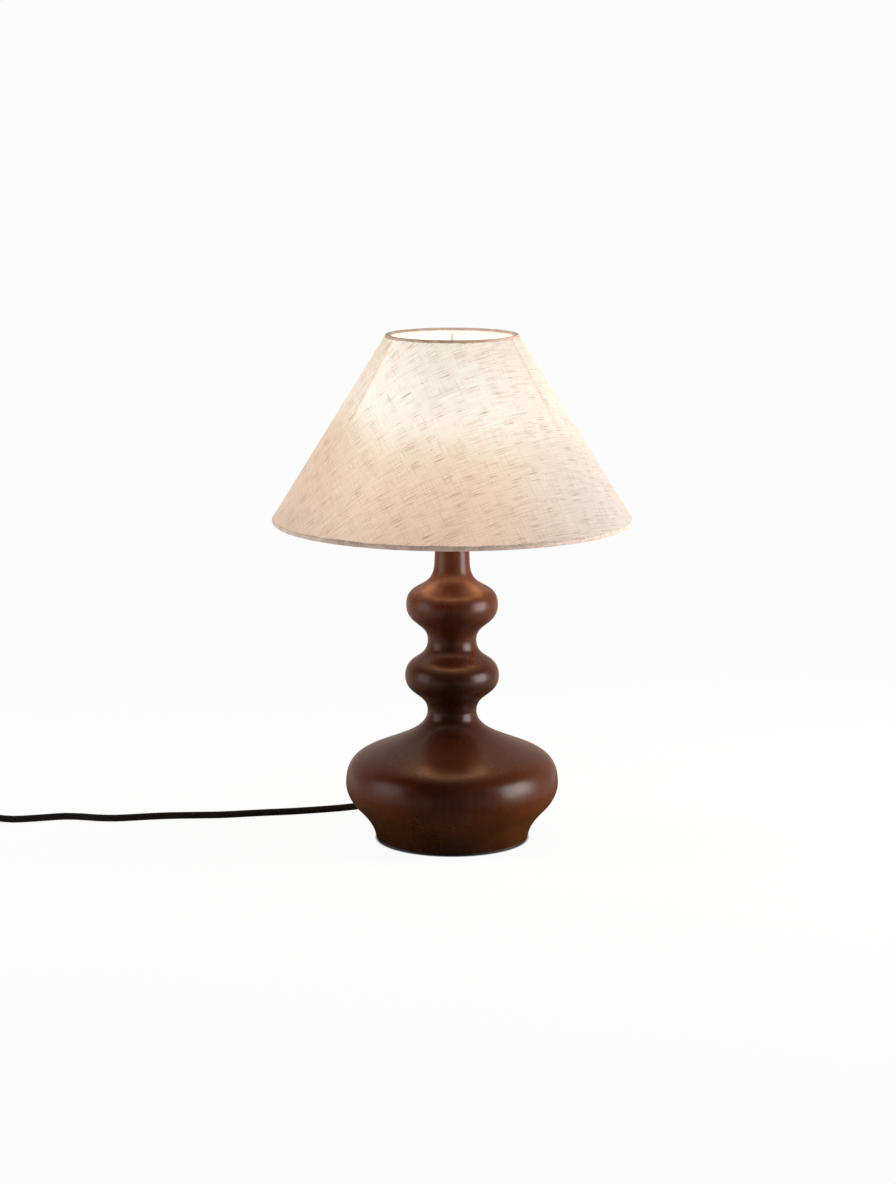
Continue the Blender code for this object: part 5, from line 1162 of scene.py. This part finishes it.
def block(name, low, high):
    """A block in the switch that a pocket is cut with."""
    loops = [[(low[0], low[1], z), (high[0], low[1], z), (high[0], high[1], z), (low[0], high[1], z)]
             for z in (low[2], high[2])]
    return stacked(name, loops, SWITCH_PLACE)


def switch_shell(name, levels, node, cutters):
    """One shell of the switch, from (inset, height) levels, with its cutters taken out."""
    loops = [[(x, y, level) for x, y in switch_outline(inset)] for inset, level in levels]
    return dress(cut_out(stacked(name, loops, SWITCH_PLACE), *cutters), "black_plastic", "lamp", node)


def make_shells():
    """Lower shell with its pocket and screw holes, and crowned upper shell with the rocker's window."""
    split = SWITCH_SPLIT_HEIGHT
    holes = []
    for side in (-1, 1):
        hole = turned("screw_hole", [(0, -0.001), (0.0026, -0.001), (0.0026, 0.0029), (0.0015, 0.0029),
                                     (0.0015, 0.0090), (0, 0.0090)], SMALL_SIDES)
        holes.append(laid(hole, UPRIGHT, SWITCH_PLACE + SCREW_SPOT * side))
    pocket_x, pocket_y = 0.024, 0.0056
    pocket = block("lower_pocket", (-pocket_x, -pocket_y, 0.0020), (pocket_x, pocket_y, 0.010))
    lower_levels = [(0.0014, 0), (0.0007, 0.0002), (0.0002, 0.0007), (0, 0.0014), (0, split - 0.0006),
                    (0.0001, split - 0.0003), (0.0004, split - 0.0001)]
    lower = switch_shell("switch_lower_shell", lower_levels, "switch_case_lower", [pocket, *holes])
    window_x, window_y = ROCKER_SWEEP * math.cos(math.radians(28)) + 0.00035, 0.00535
    tab_x = window_x + 0.0026
    cutters = [block("rocker_window", (-window_x, -window_y, 0.005), (window_x, window_y, 0.019)),
               block("tab_pocket_in", (-pocket_x, -pocket_y, 0.005), (-tab_x, pocket_y, 0.0117)),
               block("tab_pocket_out", (tab_x, -pocket_y, 0.005), (pocket_x, pocket_y, 0.0117))]
    upper_levels = [(0.0004, split + 0.0001), (0.0001, split + 0.0003), (0, split + 0.0006)]
    upper_levels += [(0.0034 * (1 - math.cos(turn)), 0.0140 + 0.0030 * math.sin(turn))
                     for turn in (math.pi / 2 * step / 8 for step in range(9))]
    return [lower, switch_shell("switch_upper_shell", upper_levels, "switch_case_upper", cutters)]


def make_rocker():
    """The rocker, with a dipped face, five grips on each wing and rounded sides."""
    tilt, grips, half, axis_height = math.radians(8), 5, 0.0050, 0.010
    angles = [math.radians(50 - 14 * step / 8) for step in range(9)]
    arc = [Vector((ROCKER_SWEEP * math.cos(angle), ROCKER_SWEEP * math.sin(angle))) for angle in angles]
    top = arc[0]
    valley = top.y - top.x * math.tan(tilt)
    face = []
    for grip in range(grips * 4 + 1):
        share = grip / (grips * 4)
        lift = 0.00030 * (0.5 - 0.5 * math.cos(math.tau * share * grips)) * min(1, share * 4, (1 - share) * 4)
        face.append(Vector((top.x * share, valley + (top.y - valley) * share + lift)))
    right = face + arc[1:] + [Vector((0.0042, 0)), Vector((0.0026, -0.0040))]
    outline = right + [Vector((-point.x, point.y)) for point in reversed(right[1:])]
    middle = Vector((0, 0.0035))
    sides = ((half, 0.95), (half - 0.0002, 0.985), (half - 0.0006, 1.0))
    loops = []
    for across, share in [(-across, share) for across, share in sides] + list(reversed(sides)):
        drawn_in = [middle + (point - middle) * share for point in outline]
        loops.append([(point.x, across, point.y) for point in drawn_in])
    rocker = stacked("switch_rocker_cap", loops)
    laid(rocker, Matrix.Rotation(tilt, 4, "Y"), SWITCH_PLACE + Vector((0, 0, axis_height)))
    return dress(rocker, "black_plastic", "rocker", "switch_rocker")


def make_switch():
    """The switch on the lead: its shells, rocker and screws."""
    pieces = make_shells() + [make_rocker()]
    for number, side in ((1, -1), (2, 1)):
        outline = [(0, 0.0020), (0.0007, 0.0020), (0.0008, 0.0013), (0.0019, 0.0012), (0.0023, 0.0015),
                   (0.0023, 0.0026), (0.0012, 0.0026), (0.0012, 0.0136), (0, 0.0136)]
        screw = turned(f"switch_shell_screw_{number}", outline, SMALL_SIDES)
        laid(screw, UPRIGHT, SWITCH_PLACE + SCREW_SPOT * side)
        pieces.append(dress(screw, "zinc_steel", "lamp", f"switch_screw_{number}"))
    return pieces


def plug_loop(x, half_width, half_height, power, sides=48):
    """One cross-section of the plug, from round to block-like with its power."""
    points = []
    for index in range(sides):
        angle = math.tau * (index + 0.5) / sides
        across, rise = math.cos(angle), math.sin(angle)
        points.append((x, half_width * math.copysign(abs(across) ** (2 / power), across),
                       half_height * math.copysign(abs(rise) ** (2 / power), rise)))
    return points


def make_plug():
    """The flat plug: ribbed tapered relief, waisted body, and two pins with their dark sleeves."""
    loops = []
    ribs = 6
    for step in range(ribs * 4 + 1):
        share = step / (ribs * 4)
        notch = 0.0008 if step % 4 in (1, 2) and 0.05 < share < 0.95 else 0.0
        radius = 0.0042 + 0.0014 * share - notch
        loops.append(plug_loop(0.022 * share, radius, radius, 2.0))
    body = [(0.0235, 0.0064, 0.0058, 2.1), (0.026, 0.0083, 0.0064, 2.5), (0.029, 0.0098, 0.00675, 3.0),
            (0.033, 0.0117, 0.00675, 3.8), (0.0375, 0.0130, 0.00675, 4.5), (0.044, 0.0126, 0.00665, 4.5),
            (0.050, 0.0122, 0.00660, 4.5), (0.0555, 0.01209, 0.00660, 4.5), (0.0564, 0.0118, 0.0063, 4.5),
            (0.0569, 0.0113, 0.0059, 4.5), (0.0570, 0.0109, 0.0055, 4.5)]
    loops += [plug_loop(*section) for section in body]
    shell = stacked("plug_moulding", loops, PLUG_ENTRY)
    pin_radius, pin_root, sleeve_end, pin_end = 0.0020, -0.006, 0.0100, 0.0190
    pieces, holes = [], []
    for number, side in ((1, -1), (2, 1)):
        place = PLUG_ENTRY + Vector((0.057, side * 0.0093, 0))
        hole = turned("pin_hole", boxed(0, 0.0023, -0.0064, 0.003), SMALL_SIDES)
        holes.append(laid(hole, LAID_RIGHT, place))
        outline = [(0, pin_root), (0.0016, pin_root), (0.0016, sleeve_end), (pin_radius, 0.0101)]
        outline += [(pin_radius * math.cos(turn), 0.0176 + 0.0014 * math.sin(turn))
                    for turn in (math.pi / 2 * step / 6 for step in range(6))] + [(0, pin_end)]
        pin = laid(turned(f"plug_contact_pin_{number}", outline, SMALL_SIDES), LAID_RIGHT, place)
        pieces.append(dress(pin, "brass", "lamp", f"plug_pin_{number}"))
        sleeve = turned(f"plug_pin_sleeve_{number}",
                        eased(boxed(0.00165, pin_radius, pin_root, sleeve_end), 0.0001), SMALL_SIDES)
        pieces.append(dress(laid(sleeve, LAID_RIGHT, place), "black_plastic", "lamp"))
    cut_out(shell, *holes)
    return [dress(shell, "black_plastic", "lamp", "plug_body")] + pieces


def make_tie():
    """The tie round the coil, with its end lapped over and pressed down."""
    half_x, half_z, corner, half, thick = 0.0104, 0.0066, 0.0033, 0.0050, 0.0006
    middle = COIL_RADIUS - COIL_PITCH * COIL_TURNS_PER_LAYER / 2
    spot = Vector((COIL_CENTRE.x - middle, COIL_CENTRE.y, (COIL_LOW + COIL_HIGH) / 2))

    def wrap(grow, y, steps=10):
        points = []
        for quarter in range(4):
            sign_x, sign_z = (1 if quarter in (0, 3) else -1), (1 if quarter in (0, 1) else -1)
            for step in range(steps + 1):
                angle = math.pi / 2 * (quarter + step / steps)
                points.append((sign_x * (half_x - corner) + (corner + grow) * math.cos(angle), y,
                               sign_z * (half_z - corner) + (corner + grow) * math.sin(angle)))
        return points

    loops = [wrap(grow, y) for grow, y in ((0, -half), (thick, -half), (thick, half), (0, half))]
    strap = stacked("coil_tie_strap", loops, spot, closed=True)
    loops = []
    for x, lift, narrow in ((-0.0068, 0, 0), (0.0010, 0, 0), (0.0050, 0.00004, 0), (0.0058, 0.0001, 0.0006),
                            (0.0062, 0.0002, 0.0018)):
        width, low = half - narrow, half_z + 0.00062 + lift
        loops.append([(x, y, z) for y, z in ((-width, low), (width, low), (width, low + 0.0005),
                                             (-width, low + 0.0005))])
    flap = stacked("coil_tie_flap", loops, spot)
    return [dress(strap, "felt", "lamp", "cord_tie"), dress(flap, "felt", "lamp")]


def declare_lead(tie):
    """Give the two stretches of the lead their braid finish, and let them stand for the lead's nodes."""
    dress(lead_run, "textile_cord", "lamp", "cord_run")
    dress(lead_spare, "textile_cord", "lamp", "cord_link", "cord_coil", "cord_tail")


def seen_directly(tree):
    """1 for camera and transmission rays, and 1 for glossy rays."""
    path = add(tree, "ShaderNodeLightPath").outputs
    direct = calc(tree, "MAXIMUM", path["Is Camera Ray"], path["Is Transmission Ray"])
    return direct, path["Is Glossy Ray"]


def make_floor():
    """A pale floor that fades into the backdrop and keeps the soft shadow of the lamp, with a painted contact
    shadow under its foot.
    """
    bm = bmesh.new()
    bmesh.ops.create_grid(bm, x_segments=1, y_segments=1, size=8)
    floor = piece_from(bm, "studio_floor", smooth=False)
    material = bpy.data.materials.new("studio_floor")
    material.use_nodes = True
    tree = material.node_tree
    tree.nodes.clear()
    spot = place_of(tree)
    place = parts_of(tree, spot)
    away = vector_calc(tree, "LENGTH", spot)["Value"]
    direct, glossy = seen_directly(tree)
    kept = stepped(tree, away, *SHADOW_FADE, FLOOR_SHADOW_SHARE, 0.0)
    # Painted contact shadow: no glow under the foot.
    clear_of_foot_shadow = stepped(tree, away, *FOOT_SHADOW_EDGE)
    level = calc(tree, "SUBTRACT", BACKGROUND, calc(tree, "MULTIPLY", kept, FLOOR_LIGHT))
    shown = calc(tree, "MULTIPLY", calc(tree, "MULTIPLY", level, clear_of_foot_shadow), direct)
    sides = stepped(tree, calc(tree, "ABSOLUTE", place[0]), *SIDES_IN_GLOSS)
    behind = stepped(tree, place[1], *REAR_IN_GLOSS)
    mirrored = calc(tree, "MULTIPLY", glossy, calc(tree, "MAXIMUM", sides, behind))
    shadowed = add(tree, "ShaderNodeCombineColor", {0: kept, 1: kept, 2: kept}).outputs[0]
    tone = blended(tree, glossy, blended(tree, direct, FLOOR_COLOUR, shadowed), (0, 0, 0, 1))
    matte = add(tree, "ShaderNodeBsdfDiffuse", {"Color": tone})
    glow = add(tree, "ShaderNodeEmission", {"Color": blended(tree, glossy, WHITE, STUDIO_IN_GLOSS),
                                            "Strength": calc(tree, "ADD", shown, mirrored)})
    both = add(tree, "ShaderNodeAddShader", {0: matte.outputs[0], 1: glow.outputs[0]})
    add(tree, "ShaderNodeOutputMaterial", {"Surface": both.outputs[0]})
    material.cycles.emission_sampling = "NONE"
    floor.data.materials.append(material)


def make_surroundings():
    """White round the lamp to the camera, level light on it, and a side behind the camera dim in its gloss."""
    world = bpy.data.worlds.new("studio")
    bpy.context.scene.world = world
    world.use_nodes = True
    tree = world.node_tree
    tree.nodes.clear()
    apart = parts_of(tree, add(tree, "ShaderNodeTexCoord").outputs["Generated"])
    direct, glossy = seen_directly(tree)
    mirrored = stepped(tree, apart[1], *FAR_IN_GLOSS)
    level = stepped(tree, apart[2], 0.0, 0.6, *LEVEL_LIGHT)
    strength = mixed(tree, direct, mixed(tree, glossy, level, mirrored), BACKGROUND)
    back = add(tree, "ShaderNodeBackground", {"Color": blended(tree, glossy, WHITE, STUDIO_IN_GLOSS),
                                              "Strength": strength})
    add(tree, "ShaderNodeOutputWorld", {"Surface": back.outputs[0]})


def soft_light(name, place, aim, size, power, colour=(1, 1, 1), shape="SQUARE", gloss=True, matte=True):
    """A soft light that looks at a point, and can be kept out of gloss or off matte surfaces."""
    data = bpy.data.lights.new(name, "AREA")
    data.shape = shape
    data.size = size
    data.energy = power
    data.color = colour
    light = bpy.data.objects.new(name, data)
    light.location = place
    light.rotation_euler = (Vector(aim) - Vector(place)).to_track_quat("-Z", "Y").to_euler()
    light.visible_camera = False
    light.visible_glossy = gloss
    light.visible_diffuse = matte
    bpy.context.scene.collection.objects.link(light)


def make_lights():
    """A soft panel on each side for the gloss, three soft fills, and the bulb's light out of the shade."""
    soft_light("right_panel", (1.08, -0.32, 0.27), LIGHT_AIM, 0.70, 14.4, (0.95, 0.93, 0.94), matte=False)
    soft_light("left_panel", (-1.08, -0.32, 0.27), LIGHT_AIM, 0.70, 3.1, (0.95, 0.95, 1.0), matte=False)
    soft_light("right_fill", (1.35, 0.10, 0.16), LIGHT_AIM, 0.80, 64.0, (1.0, 0.97, 0.92), gloss=False)
    soft_light("left_fill", (-1.35, 0.10, 0.16), LIGHT_AIM, 0.80, 28.5, gloss=False)
    soft_light("front_fill", (0.50, -1.90, 0.22), (0, 0, 0.18), 1.0, 3.0, gloss=False)
    for index in range(SHADE_GLOSS_COUNT):
        place = at_turn(SHADE_GLOSS_RADIUS, math.tau * index / SHADE_GLOSS_COUNT, SHADE_GLOSS_HEIGHT)
        soft_light(f"shade_gloss_{index + 1}", place, (place.x, place.y, 0), 0.052, 0.034, (1.0, 0.42, 0.18),
                   "DISK", matte=False)
    soft_light("shade_glow", (0, 0, 0.284), (0, 0, 0), 0.22, 0.13, (1.0, 0.52, 0.26), "DISK", gloss=False)


dress_cad()
make_wood()
make_felt_and_bushing()
make_lampholder()
make_bulb()
make_shade_cloth()
make_shade_frame()
make_clamp_ring()
switch_pieces = make_switch()
plug_pieces = make_plug()
declare_lead(make_tie())
make_floor()
make_surroundings()
make_lights()
bpy.context.scene.view_settings.view_transform = "Standard"
